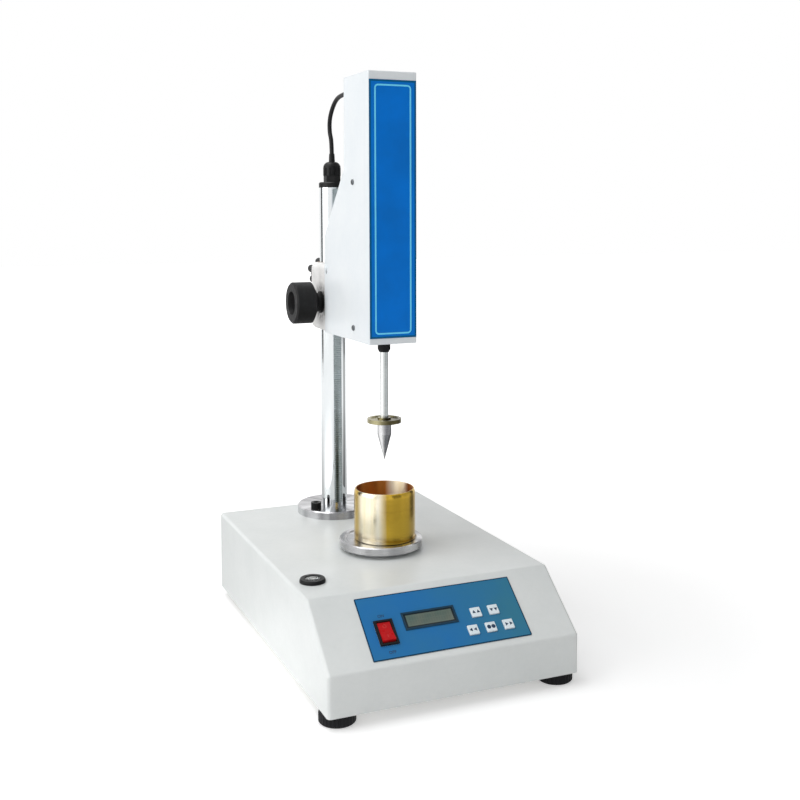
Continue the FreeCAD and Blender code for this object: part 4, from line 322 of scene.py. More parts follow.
def colour(code: str) -> tuple[float, float, float, float]:
    """Turn an sRGB hex colour into the linear one that shaders take.

    Args:
        code: Six hex digits with a leading hash.

    Returns:
        Linear red, green, blue and an alpha of one.
    """
    parts = [int(code[i:i + 2], 16) / 255 for i in (1, 3, 5)]
    linear = [p / 12.92 if p <= 0.04045 else ((p + 0.055) / 1.055) ** 2.4 for p in parts]
    return (linear[0], linear[1], linear[2], 1.0)


class Axis(Enum):
    """Line that a piece was turned about."""

    X = (1.0, 0.0, 0.0)
    Y = (0.0, 1.0, 0.0)
    Z = (0.0, 0.0, 1.0)


class Draft:
    """A surface being drawn: its node tree, its shader and the piece's own coordinates."""

    def __init__(self, owner: bpy.types.ID, shader: str = "Principled BSDF") -> None:
        """Open the tree of a material or a world.

        Args:
            owner: Material or world to draw in.
            shader: Name of the shader that its tree starts with.
        """
        owner.use_nodes = True
        self.tree = owner.node_tree
        self.shader = self.tree.nodes[shader]

    @cached_property
    def coordinates(self) -> Socket:
        """Give the piece's own coordinates in metres."""
        return self.add("TexCoord").outputs["Object"]

    def fill(self, node: bpy.types.Node, inputs: Inputs) -> None:
        """Fill a node's inputs.

        Args:
            node: Node of this tree.
            inputs: Value, hex colour, or socket to link, for each input by name or number.
        """
        for key, value in inputs.items():
            if isinstance(value, Socket):
                self.tree.links.new(value, node.inputs[key])
            else:
                node.inputs[key].default_value = colour(value) if isinstance(value, str) else value

    def add(self, kind: str, inputs: Inputs | None = None, **settings: object) -> bpy.types.Node:
        """Add a node, set its options and fill its inputs.

        Args:
            kind: Blender's name of the node type, without the ShaderNode before it.
            inputs: What goes into its inputs.
            settings: Options of the node itself.

        Returns:
            The new node.
        """
        node = self.tree.nodes.new("ShaderNode" + kind)
        for key, value in settings.items():
            setattr(node, key, value)
        self.fill(node, inputs or {})
        return node

    def math(self, operation: str, *values: object) -> Socket:
        """Join numbers by one operation."""
        return self.add("Math", dict(enumerate(values)), operation=operation).outputs[0]

    def vector(self, operation: str, *values: object) -> Socket:
        """Join vectors by one operation, whose result is a number for lengths, distances and products."""
        made = self.add("VectorMath", dict(enumerate(values)), operation=operation)
        return made.outputs["Value" if operation in ("LENGTH", "DISTANCE", "DOT_PRODUCT") else "Vector"]

    def axes(self, place: Socket) -> tuple[Socket, ...]:
        """Split a vector into X, Y and Z."""
        return tuple(self.add("SeparateXYZ", {0: place}).outputs)

    def noise(self, place: Socket, detail: float = 2.0, rough: float = 0.5) -> Socket:
        """Draw a noise with about one grain to each unit of the place."""
        inputs = {"Vector": place, "Scale": 1.0, "Detail": detail, "Roughness": rough}
        return self.add("TexNoise", inputs).outputs[0]

    def grain(self, size: float, detail: float = 2.0, stretch: Point = UNIT) -> Socket:
        """Draw a noise whose grains have a real size.

        Args:
            size: Grain size in metres.
            detail: Octaves of finer noise.
            stretch: How much longer the grain is along each axis.

        Returns:
            Noise value from zero to one.
        """
        scale = tuple(1.0 / (size * s) for s in stretch)
        laid = self.add("Mapping", {"Vector": self.coordinates, "Scale": scale})
        return self.noise(laid.outputs[0], detail, 0.55)

    def span(self, value: Socket, low: object, high: object, start: float = 0.3, end: float = 0.7) -> Socket:
        """Spread a value over a range.

        Args:
            value: Pattern value or distance.
            low: Result at the start.
            high: Result at the end.
            start: Value that gives the low result.
            end: Value that gives the high result.

        Returns:
            Value between low and high.
        """
        inputs = {"Value": value, "From Min": start, "From Max": end, "To Min": low, "To Max": high}
        return self.add("MapRange", inputs).outputs[0]

    def blend(self, share: object, first: object, second: object) -> Socket:
        """Blend two colours by a share."""
        return self.add("Mix", {0: share, 6: first, 7: second}, data_type="RGBA").outputs[2]

    def relief(self, height: Socket, depth: float, share: float, below: Socket | None = None) -> Socket:
        """Turn a pattern into surface relief.

        Args:
            height: Pattern value.
            depth: Height in metres of a pattern value of one.
            share: Share of the relief that shows.
            below: Relief to lay this one over, or none.

        Returns:
            Normal.
        """
        inputs: Inputs = {"Height": height, "Distance": depth, "Strength": share}
        if below is not None:
            inputs["Normal"] = below
        return self.add("Bump", inputs).outputs[0]

    def polar(self, centre: Point, axis: Axis) -> tuple[Socket, Socket, Socket]:
        """Measure the surface round an axis.

        Args:
            centre: A point on the axis.
            axis: Direction of the axis.

        Returns:
            Vector along the rings, distance from the axis and distance along it.
        """
        offset = self.vector("SUBTRACT", self.coordinates, centre)
        around = self.vector("CROSS_PRODUCT", offset, axis.value)
        return around, self.vector("LENGTH", around), self.vector("DOT_PRODUCT", offset, axis.value)

    def flat(self, middle: Point, lean: float, half: Pair) -> tuple[Socket, Socket, Socket]:
        """Measure a leaning flat field.

        Args:
            middle: Middle of the field.
            lean: Angle of the field from the level, in radians.
            half: Half of the field's width and height.

        Returns:
            Distance across and up from the middle, and distance outside the field, negative inside it.
        """
        offset = self.vector("SUBTRACT", self.coordinates, middle)
        inputs = {"Vector": offset, "Angle": -lean, "Axis": Axis.X.value}
        turned = self.add("VectorRotate", inputs, rotation_type="AXIS_ANGLE")
        x, y, _ = self.axes(turned.outputs[0])
        past = [self.math("SUBTRACT", self.math("ABSOLUTE", way), end) for way, end in zip((x, y), half)]
        return x, y, self.math("MAXIMUM", *past)

    def finish(self, base: object, rough: object, normal: Socket | None = None, **more: object) -> None:
        """Fill the shader's inputs.

        Args:
            base: Colour.
            rough: Roughness.
            normal: Relief, or none.
            more: Other inputs by name, with underscores for spaces.
        """
        inputs: Inputs = {"Base Color": base, "Roughness": rough}
        if normal is not None:
            inputs["Normal"] = normal
        inputs.update({name.replace("_", " "): value for name, value in more.items()})
        self.fill(self.shader, inputs)


# ----------------------------------------------------------------------------------------------------------
# Finishes
# ----------------------------------------------------------------------------------------------------------


@dataclass(frozen=True)
class Finish:
    """A surface: what it is made of and how it was finished."""

    name: str
    base: str

    def material(self) -> bpy.types.Material:
        """Give this finish's material, drawn once.

        Returns:
            The material.
        """
        found = bpy.data.materials.get(self.name)
        if found is None:
            found = bpy.data.materials.new(self.name)
            self.draw(Draft(found))
        return found

    def draw(self, draft: Draft) -> None:
        """Draw the finish."""
        raise NotImplementedError


@dataclass(frozen=True)
class Spots:
    """Spots of a second shade: size, octaves, greatest share, and where in the noise they start and end."""

    size: float
    detail: float
    share: float
    start: float = 0.3
    end: float = 0.7


@dataclass(frozen=True)
class Skin:
    """Fine relief: size of its grain, octaves, depth, and the share of it that shows."""

    grain: float
    detail: float
    depth: float
    share: float


@dataclass(frozen=True)
class Mottled(Finish):
    """An even surface with spots of a second shade where it is scuffed, rubbed, bloomed or thin."""

    second: str = ""
    rough: float = 0.3
    coat: float = 0.0
    specular: float = 0.5
    spread: float = 0.14
    rough_grain: float = 0.002
    spots: Spots = Spots(0.005, 5.0, 0.4)
    skin: Skin = Skin(0.0006, 2.0, 0.00004, 0.6)
    dull: float = 0.0
    metallic: float = 0.0
    coat_rough: float = 0.12

    def draw(self, draft: Draft) -> None:
        """Draw the spots, the glossier and duller patches, and the skin.

        Args:
            draft: Material being drawn.
        """
        spots, skin = self.spots, self.skin
        noise = draft.grain(spots.size, spots.detail)
        share = draft.span(noise, 0.0, spots.share, spots.start, spots.end)
        patches = draft.span(draft.grain(self.rough_grain), self.rough, self.rough + self.spread)
        rough = draft.math("MULTIPLY_ADD", share, self.dull, patches)
        relief = draft.relief(draft.grain(skin.grain, skin.detail), skin.depth, skin.share)
        draft.finish(draft.blend(share, self.base, self.second), rough, relief, Metallic=self.metallic,
                     Coat_Weight=self.coat, Coat_Roughness=self.coat_rough, Specular_IOR_Level=self.specular)


@dataclass(frozen=True)
class Moulding(Mottled):
    """Thermoplastic from a spark-eroded mould: a matt grain, drawn coarser than real, with duller scuffs."""

    second: str = "#222223"
    rough: float = 0.44
    specular: float = 0.25
    rough_grain: float = 0.0028
    spots: Spots = Spots(0.008, 6.0, 0.5, 0.52, 0.75)
    skin: Skin = Skin(0.0007, 1.0, 0.00003, 0.6)
    dull: float = 0.15


@dataclass(frozen=True)
class BlackOxide(Mottled):
    """Black-oxide steel, oiled: nearly black, with brownish wear where a key has rubbed it."""

    second: str = "#4A4541"
    spread: float = 0.2
    rough_grain: float = 0.001
    spots: Spots = Spots(0.0025, 4.0, 0.3, 0.52, 0.75)
    skin: Skin = Skin(0.0005, 2.0, 0.00001, 0.5)
    metallic: float = 0.7


@dataclass(frozen=True)
class Rubber(Mottled):
    """Vulcanised rubber: dull black with a greyish bloom and the fine skin of the mould."""

    second: str = "#1F2021"
    rough: float = 0.6
    specular: float = 0.25
    spread: float = 0.2
    rough_grain: float = 0.0015


@dataclass(frozen=True)
class CableSheath(Mottled):
    """Extruded flexible PVC: satin black, with a ripple of 2 mm and a few pale scuffs."""

    second: str = "#2C2C2D"
    rough: float = 0.36
    coat: float = 0.03
    specular: float = 0.25
    spots: Spots = Spots(0.005, 5.0, 0.35, 0.55, 0.8)
    skin: Skin = Skin(0.002, 2.0, 0.00003, 0.4)
    coat_rough: float = 0.3


@dataclass(frozen=True)
class Ink(Mottled):
    """Screen-printed or pad-printed ink: slightly grained, a little thin in spots of half a millimetre."""

    second: str = "#9FB4BE"
    rough: float = 0.4
    specular: float = 0.2
    spread: float = 0.13
    rough_grain: float = 0.0008
    spots: Spots = Spots(0.0005, 3.0, 0.12)
    skin: Skin = Skin(0.0003, 2.0, 0.000005, 0.5)


@dataclass(frozen=True)
class PowderCoat(Finish):
    """Polyester powder coat baked on sheet steel: a soft gloss with a fine orange peel."""

    shade: str
    gloss: Pair = (0.33, 0.47)

    def draw(self, draft: Draft) -> None:
        """Draw the coat; its peel is 1.5 mm across, and its colour drifts over a hand's width.

        Args:
            draft: Material being drawn.
        """
        drift = draft.math("MULTIPLY", draft.grain(0.06, 3.0), 0.75)
        share = draft.math("MULTIPLY_ADD", draft.grain(0.004, 4.0), 0.25, drift)
        base = draft.blend(draft.span(share, 0.0, 1.0), self.base, self.shade)
        rough = draft.span(draft.grain(0.02, 5.0), *self.gloss)
        peel = draft.relief(draft.grain(0.0015, 1.0), 0.00004, 0.35)
        draft.finish(base, rough, peel, Coat_Weight=0.15, Coat_Roughness=0.2)


@dataclass(frozen=True)
class CastPaint(Finish):
    """Enamel brushed on a sand-cast and filed block: speckled, with the sand's pits and a patchy painted
    shadow round the knob's collar.
    """

    filler: str = "#D9D8D6"
    dirt: str = "#8F8C88"
    # Colour, centre and reach of the painted shadow round the knob's collar.
    painted_shadow: str = "#5C5855"
    painted_shade_at: Point = (-0.02, 0.0981, 0.2928)
    reach: float = 0.021

    def draw(self, draft: Draft) -> None:
        """Draw the enamel, with filler patches of 12 mm, dirt specks and sand grains of about 1 mm.

        Args:
            draft: Material being drawn.
        """
        base = draft.blend(draft.span(draft.grain(0.012, 3.0), 0.0, 1.0), self.base, self.filler)
        base = draft.blend(draft.span(draft.grain(0.0011), 0.0, 0.55, 0.64, 0.76), base, self.dirt)
        # A patchy painted shadow darkens the enamel round the knob's collar.
        away = draft.vector("DISTANCE", draft.coordinates, self.painted_shade_at)
        near = draft.span(away, 0.95, 0.0, 0.62 * self.reach, self.reach)
        patchy = draft.span(draft.grain(0.004, 5.0), 0.0, 1.0, 0.35)
        base = draft.blend(draft.math("MULTIPLY", near, patchy), base, self.painted_shadow)
        rough = draft.span(draft.grain(0.004), 0.34, 0.56)
        sand = draft.relief(draft.grain(0.0012, 3.0), 0.00012, 0.5)
        dents = draft.relief(draft.grain(0.007, 1.0), 0.0006, 0.35, sand)
        draft.finish(base, rough, dents, Coat_Weight=0.25, Coat_Roughness=0.25)


@dataclass(frozen=True)
class Chrome(Finish):
    """Hard chrome over polished steel: a mirror with faint lengthwise polishing lines."""

    haze: str

    def draw(self, draft: Draft) -> None:
        """Draw the plate; its polishing lines are drawn coarser than real so that they show.

        Args:
            draft: Material being drawn.
        """
        lines = draft.grain(0.0005, 2.0, (1.0, 1.0, 60.0))
        haze = draft.grain(0.03, 4.0, (1.0, 1.0, 2.0))
        share = draft.math("MULTIPLY", draft.math("ADD", lines, haze), 0.5)
        rough = draft.span(share, 0.05, 0.14, 0.4, 0.65)
        relief = draft.relief(lines, 0.000004, 0.3)
        draft.finish(draft.blend(haze, self.base, self.haze), rough, relief, Metallic=1.0)


@dataclass(frozen=True)
class Turned(Finish):
    """Metal cut on a lathe: fine rings round its axis, which stretch every highlight across them."""

    second: str
    centre: Point
    axis: Axis = Axis.Z
    rough: float = 0.22
    pitch: float = 0.0006
    depth: float = 0.000012
    across: float = 0.6
    tarnish: float = 0.5
    stain: float = 0.018
    streak: Point = UNIT
    # Number of light and dark painted glint sectors round the axis, and the offset of their pattern.
    glint_sectors: float = 0.0
    phase: float = 0.0
    # Direction of the side that gets painted shade, or all zero for none.
    painted_shade_at: Point = (0.0, 0.0, 0.0)
    bore: float = 0.0
    coat: float = 0.0

    def draw(self, draft: Draft) -> None:
        """Draw the rings, several times coarser than real so that they show, with stain, painted glint
        sectors and painted shade on one side.

        Args:
            draft: Material being drawn.
        """
        around, radius, along = draft.polar(self.centre, self.axis)
        scaled = [draft.math("DIVIDE", way, self.pitch) for way in (radius, along)]
        rings = draft.noise(draft.add("CombineXYZ", dict(enumerate(scaled))).outputs[0], 2.0, 0.6)
        spoke = draft.vector("NORMALIZE", around)
        # The stain, stretched by streak, runs in upright streaks that in part paint the reflection streaks of
        # a turned face.
        stains_and_shade = draft.span(draft.grain(self.stain, 4.0, self.streak), 0.0, self.tarnish)
        if self.glint_sectors:
            # About this many light and dark sectors of painted glint stand round the axis, as a turned face
            # shows them in its reflections.
            fan = draft.vector("MULTIPLY_ADD", spoke, (self.glint_sectors / 6.0,) * 3, (self.phase,) * 3)
            glint = draft.span(draft.noise(fan), 0.0, 0.8, 0.38, 0.62)
            stains_and_shade = draft.math("MULTIPLY_ADD", stains_and_shade, 0.4, glint)
        # The spoke lies a quarter turn round from the way out, so the side of the painted shade is turned
        # along with it.
        turned = tuple(Vector(self.painted_shade_at).cross(Vector(self.axis.value)))
        side = draft.vector("DOT_PRODUCT", spoke, turned)
        rough = draft.span(rings, self.rough - 0.05, self.rough + 0.07)
        rough = draft.math("MULTIPLY_ADD", stains_and_shade, 0.08, rough)
        rough = draft.math("MULTIPLY_ADD", draft.math("LESS_THAN", radius, self.bore), 0.16, rough)
        draft.finish(self.tint(draft, stains_and_shade, side, radius), rough, draft.relief(rings, self.depth, 0.5),
                     Metallic=1.0, Anisotropic=self.across, Anisotropic_Rotation=0.25, Tangent=around,
                     Coat_Weight=self.coat, Coat_Roughness=0.22)

    def tint(self, draft: Draft, stains_and_shade: Socket, side: Socket, radius: Socket) -> Socket:
        """Colour the metal by its stain, and darker with painted shade on one side.

        Args:
            draft: Material being drawn.
            stains_and_shade: Share of stain and of painted glints and streaks, from zero to one.
            side: One on the side of the painted shade, minus one opposite it.
            radius: Distance from the axis; not used here.

        Returns:
            Colour.
        """
        if any(self.painted_shade_at):
            stains_and_shade = draft.math("MULTIPLY_ADD", stains_and_shade, 0.4, draft.span(side, 0.0, 0.8, -0.3, 0.3))
        return draft.blend(stains_and_shade, self.base, self.second)


@dataclass(frozen=True)
class CupBrass(Turned):
    """Buffed brass under lacquer, with painted light: a pale painted highlight band on the side facing the
    key lamp, painted shade round the rest of the wall, and a brown painted shade in the bore with a pale
    painted highlight streak on its far wall.
    """

    # Colours of the painted shade on the outer wall and in the bore.
    shade_side_colour: str = "#C9A534"
    inside: str = "#AF702E"

    def tint(self, draft: Draft, stains_and_shade: Socket, side: Socket, radius: Socket) -> Socket:
        """Colour the brass by its side and its bore, with painted light.

        Args:
            draft: Material being drawn.
            stains_and_shade: Share of stain and of painted reflection streaks, from zero to one.
            side: One on the side of the painted shade, minus one opposite it.
            radius: Distance from the axis.

        Returns:
            Colour.
        """
        in_bore = draft.math("LESS_THAN", radius, self.bore)
        # The outer wall gets painted shade, except for a painted highlight band on the side that faces the
        # key lamp.
        outside = draft.math("MULTIPLY_ADD", stains_and_shade, 0.3, draft.span(side, 0.0, 0.95, -0.95, -0.83))
        # In the bore a brown painted shade, with a pale painted highlight streak on the far wall, which faces
        # the key lamp.
        within = draft.math("MULTIPLY_ADD", stains_and_shade, 0.2, draft.span(side, 1.0, 0.0, 0.87, 0.975))
        pale_brass = draft.blend(stains_and_shade, self.base, self.second)
        wall = draft.blend(outside, pale_brass, self.shade_side_colour)
        return draft.blend(in_bore, wall, draft.blend(within, pale_brass, self.inside))


@dataclass(frozen=True)
class Ground(Finish):
    """Steel or aluminium ground or milled along one line, with a dull satin."""

    second: str
    grain: float
    stretch: Point
    rough: float
    metallic: float = 1.0

    def draw(self, draft: Draft) -> None:
        """Draw the grinding lines and the oil haze on them.

        Args:
            draft: Material being drawn.
        """
        lines = draft.grain(self.grain, 3.0, self.stretch)
        base = draft.blend(draft.span(draft.grain(0.014, 3.0), 0.0, 0.8), self.base, self.second)
        rough = draft.span(lines, self.rough - 0.08, self.rough + 0.12)
        relief = draft.relief(lines, 0.00001, 0.4)
        draft.finish(self.add_painted_tint(draft, base), rough, relief, Metallic=self.metallic)

    def add_painted_tint(self, draft: Draft, base: Socket) -> Socket:
        """Leave the metal as it is, with no painted tint."""
        return base


@dataclass(frozen=True)
class RackWithPaintedTint(Ground):
    """Ground steel rack with a dark green painted reflection down the middle of its lower half."""

    reflection_tint: str = "#35442C"
    middle: float = -0.0009
    half: float = 0.0022
    low: float = 0.13
    high: float = 0.22

    def add_painted_tint(self, draft: Draft, base: Socket) -> Socket:
        """Lay the painted reflection tint over the steel.

        Args:
            draft: Material being drawn.
            base: Colour of the bare steel.

        Returns:
            Colour.
        """
        # A dark green painted reflection down the middle of the rack's lower half.
        x, _, z = draft.axes(draft.coordinates)
        away = draft.math("ABSOLUTE", draft.math("SUBTRACT", x, self.middle))
        across = draft.span(away, 1.0, 0.0, 0.4 * self.half, self.half)
        share = draft.math("MULTIPLY", across, draft.span(z, 0.95, 0.0, self.low, self.high))
        drawn_out = draft.span(draft.grain(0.004, 3.0, (1.0, 1.0, 8.0)), 0.7, 1.0)
        return draft.blend(draft.math("MULTIPLY", share, drawn_out), base, self.reflection_tint)


@dataclass(frozen=True)
class ZincPlate(Finish):
    """Bright zinc on pressed steel: bluish white with a faint yellow bloom in its chromate film."""

    bloom: str

    def draw(self, draft: Draft) -> None:
        """Draw the spangle, in cells of about 1.5 mm, and the bloom.

        Args:
            draft: Material being drawn.
        """
        cells = draft.add("TexVoronoi", {"Vector": draft.coordinates, "Scale": 1.0 / 0.0015})
        base = draft.blend(draft.span(draft.grain(0.009, 3.0), 0.0, 0.8), self.base, self.bloom)
        rough = draft.span(draft.axes(cells.outputs["Color"])[0], 0.24, 0.4, 0.0, 1.0)
        draft.finish(base, rough, draft.relief(draft.grain(0.0007), 0.00001, 0.4), Metallic=1.0)


@dataclass(frozen=True)
class MouldedOnSteel(Finish):
    """Black moulding on a zinc-plated screw, told apart by the distance from the screw's axis."""

    centre: Point
    axis: Axis = Axis.Z
    radius: float = 0.0042
    from_level: float = 0.0085
    scuff: str = "#232426"
    zinc: str = "#C3C6C6"

    def draw(self, draft: Draft) -> None:
        """Draw both surfaces and switch between them past the moulding's end.

        Args:
            draft: Material being drawn.
        """
        _, radius, along = draft.polar(self.centre, self.axis)
        past_end = draft.math("GREATER_THAN", along, self.from_level)
        steel = draft.math("MULTIPLY", draft.math("LESS_THAN", radius, self.radius), past_end)
        scuffs = draft.span(draft.grain(0.006, 5.0), 0.0, 0.5, 0.5, 0.75)
        base = draft.blend(steel, draft.blend(scuffs, self.base, self.scuff), self.zinc)
        rough = draft.math("MULTIPLY_ADD", steel, -0.18, draft.span(draft.grain(0.003), 0.42, 0.56))
        relief = draft.relief(draft.grain(0.0007, 1.0), 0.00003, 0.5)
        draft.finish(base, rough, relief, Metallic=steel, Specular_IOR_Level=0.25)


@dataclass(frozen=True)
class PrintedFilm(Finish):
    """Polyester overlay printed from behind: ink that drifts in shade under satin, with a dark painted shade
    line along its cut edge.

    The share `aside` of the drift runs from the middle to the right, and the rest is patchy.
    """

    second: str
    edge: str
    middle: Point
    lean: float
    half: Pair
    border: float
    aside: float = 0.0

    def draw(self, draft: Draft) -> None:
        """Draw the print with a painted shade line along its edge, and the film's texture of about 0.4 mm.

        Args:
            draft: Material being drawn.
        """
        x, _, past = draft.flat(self.middle, self.lean, self.half)
        patchy = draft.span(draft.grain(0.035, 4.0), 0.0, 1.0 - self.aside, 0.35, 0.65)
        sideways = draft.span(x, 0.0, self.aside, -0.1 * self.half[0], 0.7 * self.half[0])
        print_colour = draft.blend(draft.math("ADD", patchy, sideways), self.base, self.second)
        # Past the border the film takes a dark painted shade line along its cut edge.
        base = draft.blend(draft.math("GREATER_THAN", past, -self.border), print_colour, self.edge)
        relief = draft.relief(draft.grain(0.0004, 1.0), 0.00001, 0.5)
        draft.finish(base, draft.span(draft.grain(0.03), 0.34, 0.42), relief, Coat_Weight=0.03,
                     Coat_Roughness=0.2, Specular_IOR_Level=0.1)


@dataclass(frozen=True)
class DisplayGlass(Finish):
    """Liquid crystal cell behind glass, unlit: grey green, its character cells just seen, black outside."""

    middle: Point
    lean: float
    half: Pair = (0.0195, 0.0048)
    cell: Pair = (0.0022, 0.0038)
    filled: Pair = (0.38, 0.42)
    field: Pair = (0.0176, 0.0038)
    shade: str = "#6D7468"
    dark: str = "#2F3B37"
    outside: str = "#0B2028"

    def draw(self, draft: Draft) -> None:
        """Draw sixteen cells in each of two rows, and the polariser's drift of tint.

        Args:
            draft: Material being drawn.
        """
        x, y, past = draft.flat(self.middle, self.lean, self.half)
        share: object = 0.13
        for way, pitch, filled, reach in zip((x, y), self.cell, self.filled, self.field):
            step = draft.math("FRACT", draft.math("DIVIDE", draft.math("ADD", way, reach), pitch))
            in_field = draft.math("LESS_THAN", draft.math("ABSOLUTE", way), reach)
            in_cell = draft.math("MULTIPLY", draft.math("COMPARE", step, 0.5, filled), in_field)
            share = draft.math("MULTIPLY", in_cell, share)
        drift = draft.span(draft.grain(0.012), 0.0, 0.8)
        base = draft.blend(share, draft.blend(drift, self.base, self.shade), self.dark)
        base = draft.blend(draft.math("GREATER_THAN", past, 0.0), base, self.outside)
        draft.finish(base, draft.span(draft.grain(0.01, 4.0), 0.1, 0.18), Coat_Weight=0.15,
                     Coat_Roughness=0.05, Specular_IOR_Level=0.35)


@dataclass(frozen=True)
class Acrylic(Finish):
    """Clear cast acrylic: water-clear, with faint flow streaks."""

    def draw(self, draft: Draft) -> None:
        """Draw the clear plastic, whose gloss only a breath of haze breaks.

        Args:
            draft: Material being drawn.
        """
        rough = draft.span(draft.grain(0.003, 3.0), 0.0, 0.05)
        relief = draft.relief(draft.grain(0.002), 0.000004, 0.3)
        draft.finish(self.base, rough, relief, Transmission_Weight=1.0, IOR=1.49)


@dataclass(frozen=True)
class CircuitBoard(Finish):
    """Glass-epoxy board under green solder mask, with copper tracks just lifting the mask."""

    second: str = "#14502E"
    track: str = "#2F8A4E"
    tin: str = "#C9CBC4"

    def draw(self, draft: Draft) -> None:
        """Draw tracks on a 2.5 mm grid and tinned pads between them.

        Args:
            draft: Material being drawn.
        """
        tracks = draft.add("TexBrick", {
            "Vector": draft.coordinates, "Scale": 1.0 / 0.01, "Mortar Size": 0.03, "Brick Width": 0.5,
            "Row Height": 0.25, "Color1": self.base, "Color2": self.second, "Mortar": self.track,
        }).outputs
        pads = draft.add("TexVoronoi", {"Vector": draft.coordinates, "Scale": 1.0 / 0.005})
        pad = draft.math("LESS_THAN", pads.outputs["Distance"], 0.16)
        base = draft.blend(pad, tracks["Color"], self.tin)
        relief = draft.relief(tracks["Fac"], 0.00004, 0.6)
        metal = draft.math("MULTIPLY", pad, 0.9)
        draft.finish(base, draft.span(draft.grain(0.002), 0.28, 0.42), relief, Metallic=metal)


@dataclass(frozen=True)
class Laminations(Finish):
    """Stamped transformer steel in a pack under brown varnish."""

    varnish: str

    def draw(self, draft: Draft) -> None:
        """Draw the sheets' edges, 1 mm apart, coarser than real so that they show.

        Args:
            draft: Material being drawn.
        """
        level = draft.math("MULTIPLY", draft.axes(draft.coordinates)[2], 2 * math.pi / 0.001)
        base = draft.blend(draft.span(draft.grain(0.008, 4.0), 0.0, 1.0), self.base, self.varnish)
        relief = draft.relief(draft.math("SINE", level), 0.00005, 0.5)
        draft.finish(base, draft.span(draft.grain(0.002), 0.35, 0.6), relief, Metallic=0.8)


@dataclass(frozen=True)
class SocketMoulding(Finish):
    """Black phenolic inlet with nickel-plated blades inside its cavity."""

    nickel: str
    blades: tuple[float, ...] = (0.055, 0.062, 0.069)
    level: float = 0.0348
    reach: float = 0.0024
    depth_middle: float = 0.1496
    depth_half: float = 0.0094

    def draw(self, draft: Draft) -> None:
        """Draw the moulding, and nickel round each blade's axis behind the mouth.

        Args:
            draft: Material being drawn.
        """
        x, y, z = draft.axes(draft.coordinates)
        metal: object = 0.0
        for blade in self.blades:
            metal = draft.math("MAXIMUM", metal, draft.math("COMPARE", x, blade, self.reach))
        metal = draft.math("MULTIPLY", metal, draft.math("COMPARE", z, self.level, self.reach))
        metal = draft.math("MULTIPLY", metal, draft.math("COMPARE", y, self.depth_middle, self.depth_half))
        rough = draft.math("MULTIPLY_ADD", metal, -0.15, draft.span(draft.grain(0.002), 0.4, 0.52))
        relief = draft.relief(draft.grain(0.0007), 0.00002, 0.5)
        draft.finish(draft.blend(metal, self.base, self.nickel), rough, relief, Metallic=metal)


# Finishes that several pieces share.
CASING_WHITE = PowderCoat("white powder coat, base", "#E6E9E8", "#DCE0DF")
HEAD_WHITE = PowderCoat("white powder coat, head", "#E9EDEF", "#DFE5E9")
BLACK_NYLON = Moulding("moulded black nylon", "#0C0C0D", "#1D1D1E")
ZINC = ZincPlate("bright zinc plate on pressed steel", "#BFC5C9", "#C9C4AE")
BOARD_GREEN = CircuitBoard("green glass-epoxy circuit board", "#1B6B3A")


# ----------------------------------------------------------------------------------------------------------
# Instrument base
# ----------------------------------------------------------------------------------------------------------


@dataclass
class Slope:
    """The leaning front of the casing, with its own flat drawing frame."""

    break_y: float = -0.1082
    top: float = 0.0825
    run: float = 0.0514
    fall: float = 0.0418

    @property
    def lean(self) -> float:
        """Give the angle of the slope from the level, in radians."""
        return math.atan2(self.fall, self.run)

    def place(self, x: float, drop: float, lift: float = 0.0) -> Matrix:
        """Give the place of a drawing frame on the slope.

        Args:
            x: Across the slope, from the middle.
            drop: Down the slope, from the top bend.
            lift: Above the casing's face.

        Returns:
            Matrix whose Y runs up the slope and whose Z leaves it.
        """
        bend = Matrix.Translation((x, self.break_y, self.top))
        return bend @ Matrix.Rotation(self.lean, 4, "X") @ Matrix.Translation((0.0, -drop, lift))


SLOPE = Slope()


@dataclass
class BaseCasing:
    """Folded casing with its floor, feet, inlet and what is inside."""

    foot_places: tuple[tuple[str, float, float], ...] = (
        ("front_left", -0.0938, -0.1443),
        ("front_right", 0.0938, -0.1443),
        ("rear", 0.0, 0.1443),
    )

    def build(self) -> None:
        """Dress the casing and everything in and under it."""
        dress(CASING_WHITE, "base_casing")
        dress(ZINC, "base_plate", "base_plate_screws", "foot_nuts", "stage_nut", "column_backing_plate")
        for name, x, y in self.foot_places:
            # Nylon disc on a zinc-plated screw: matt black with a bright thread above it.
            foot = MouldedOnSteel(f"black nylon foot on zinc-plated screw, {name}", "#121316", (x, y, 0.0))
            dress(foot, f"levelling_foot_{name}")
        dress(BOARD_GREEN, "main_board")
        dress(Laminations("varnished transformer laminations", "#7A7F83", "#5B4636"), "transformer")
        dress(SocketMoulding("moulded black inlet, nickel blades", "#121213", "#CFCBBF"), "mains_inlet")
        LOG.info("base casing, floor, feet, inlet and inside dressed")


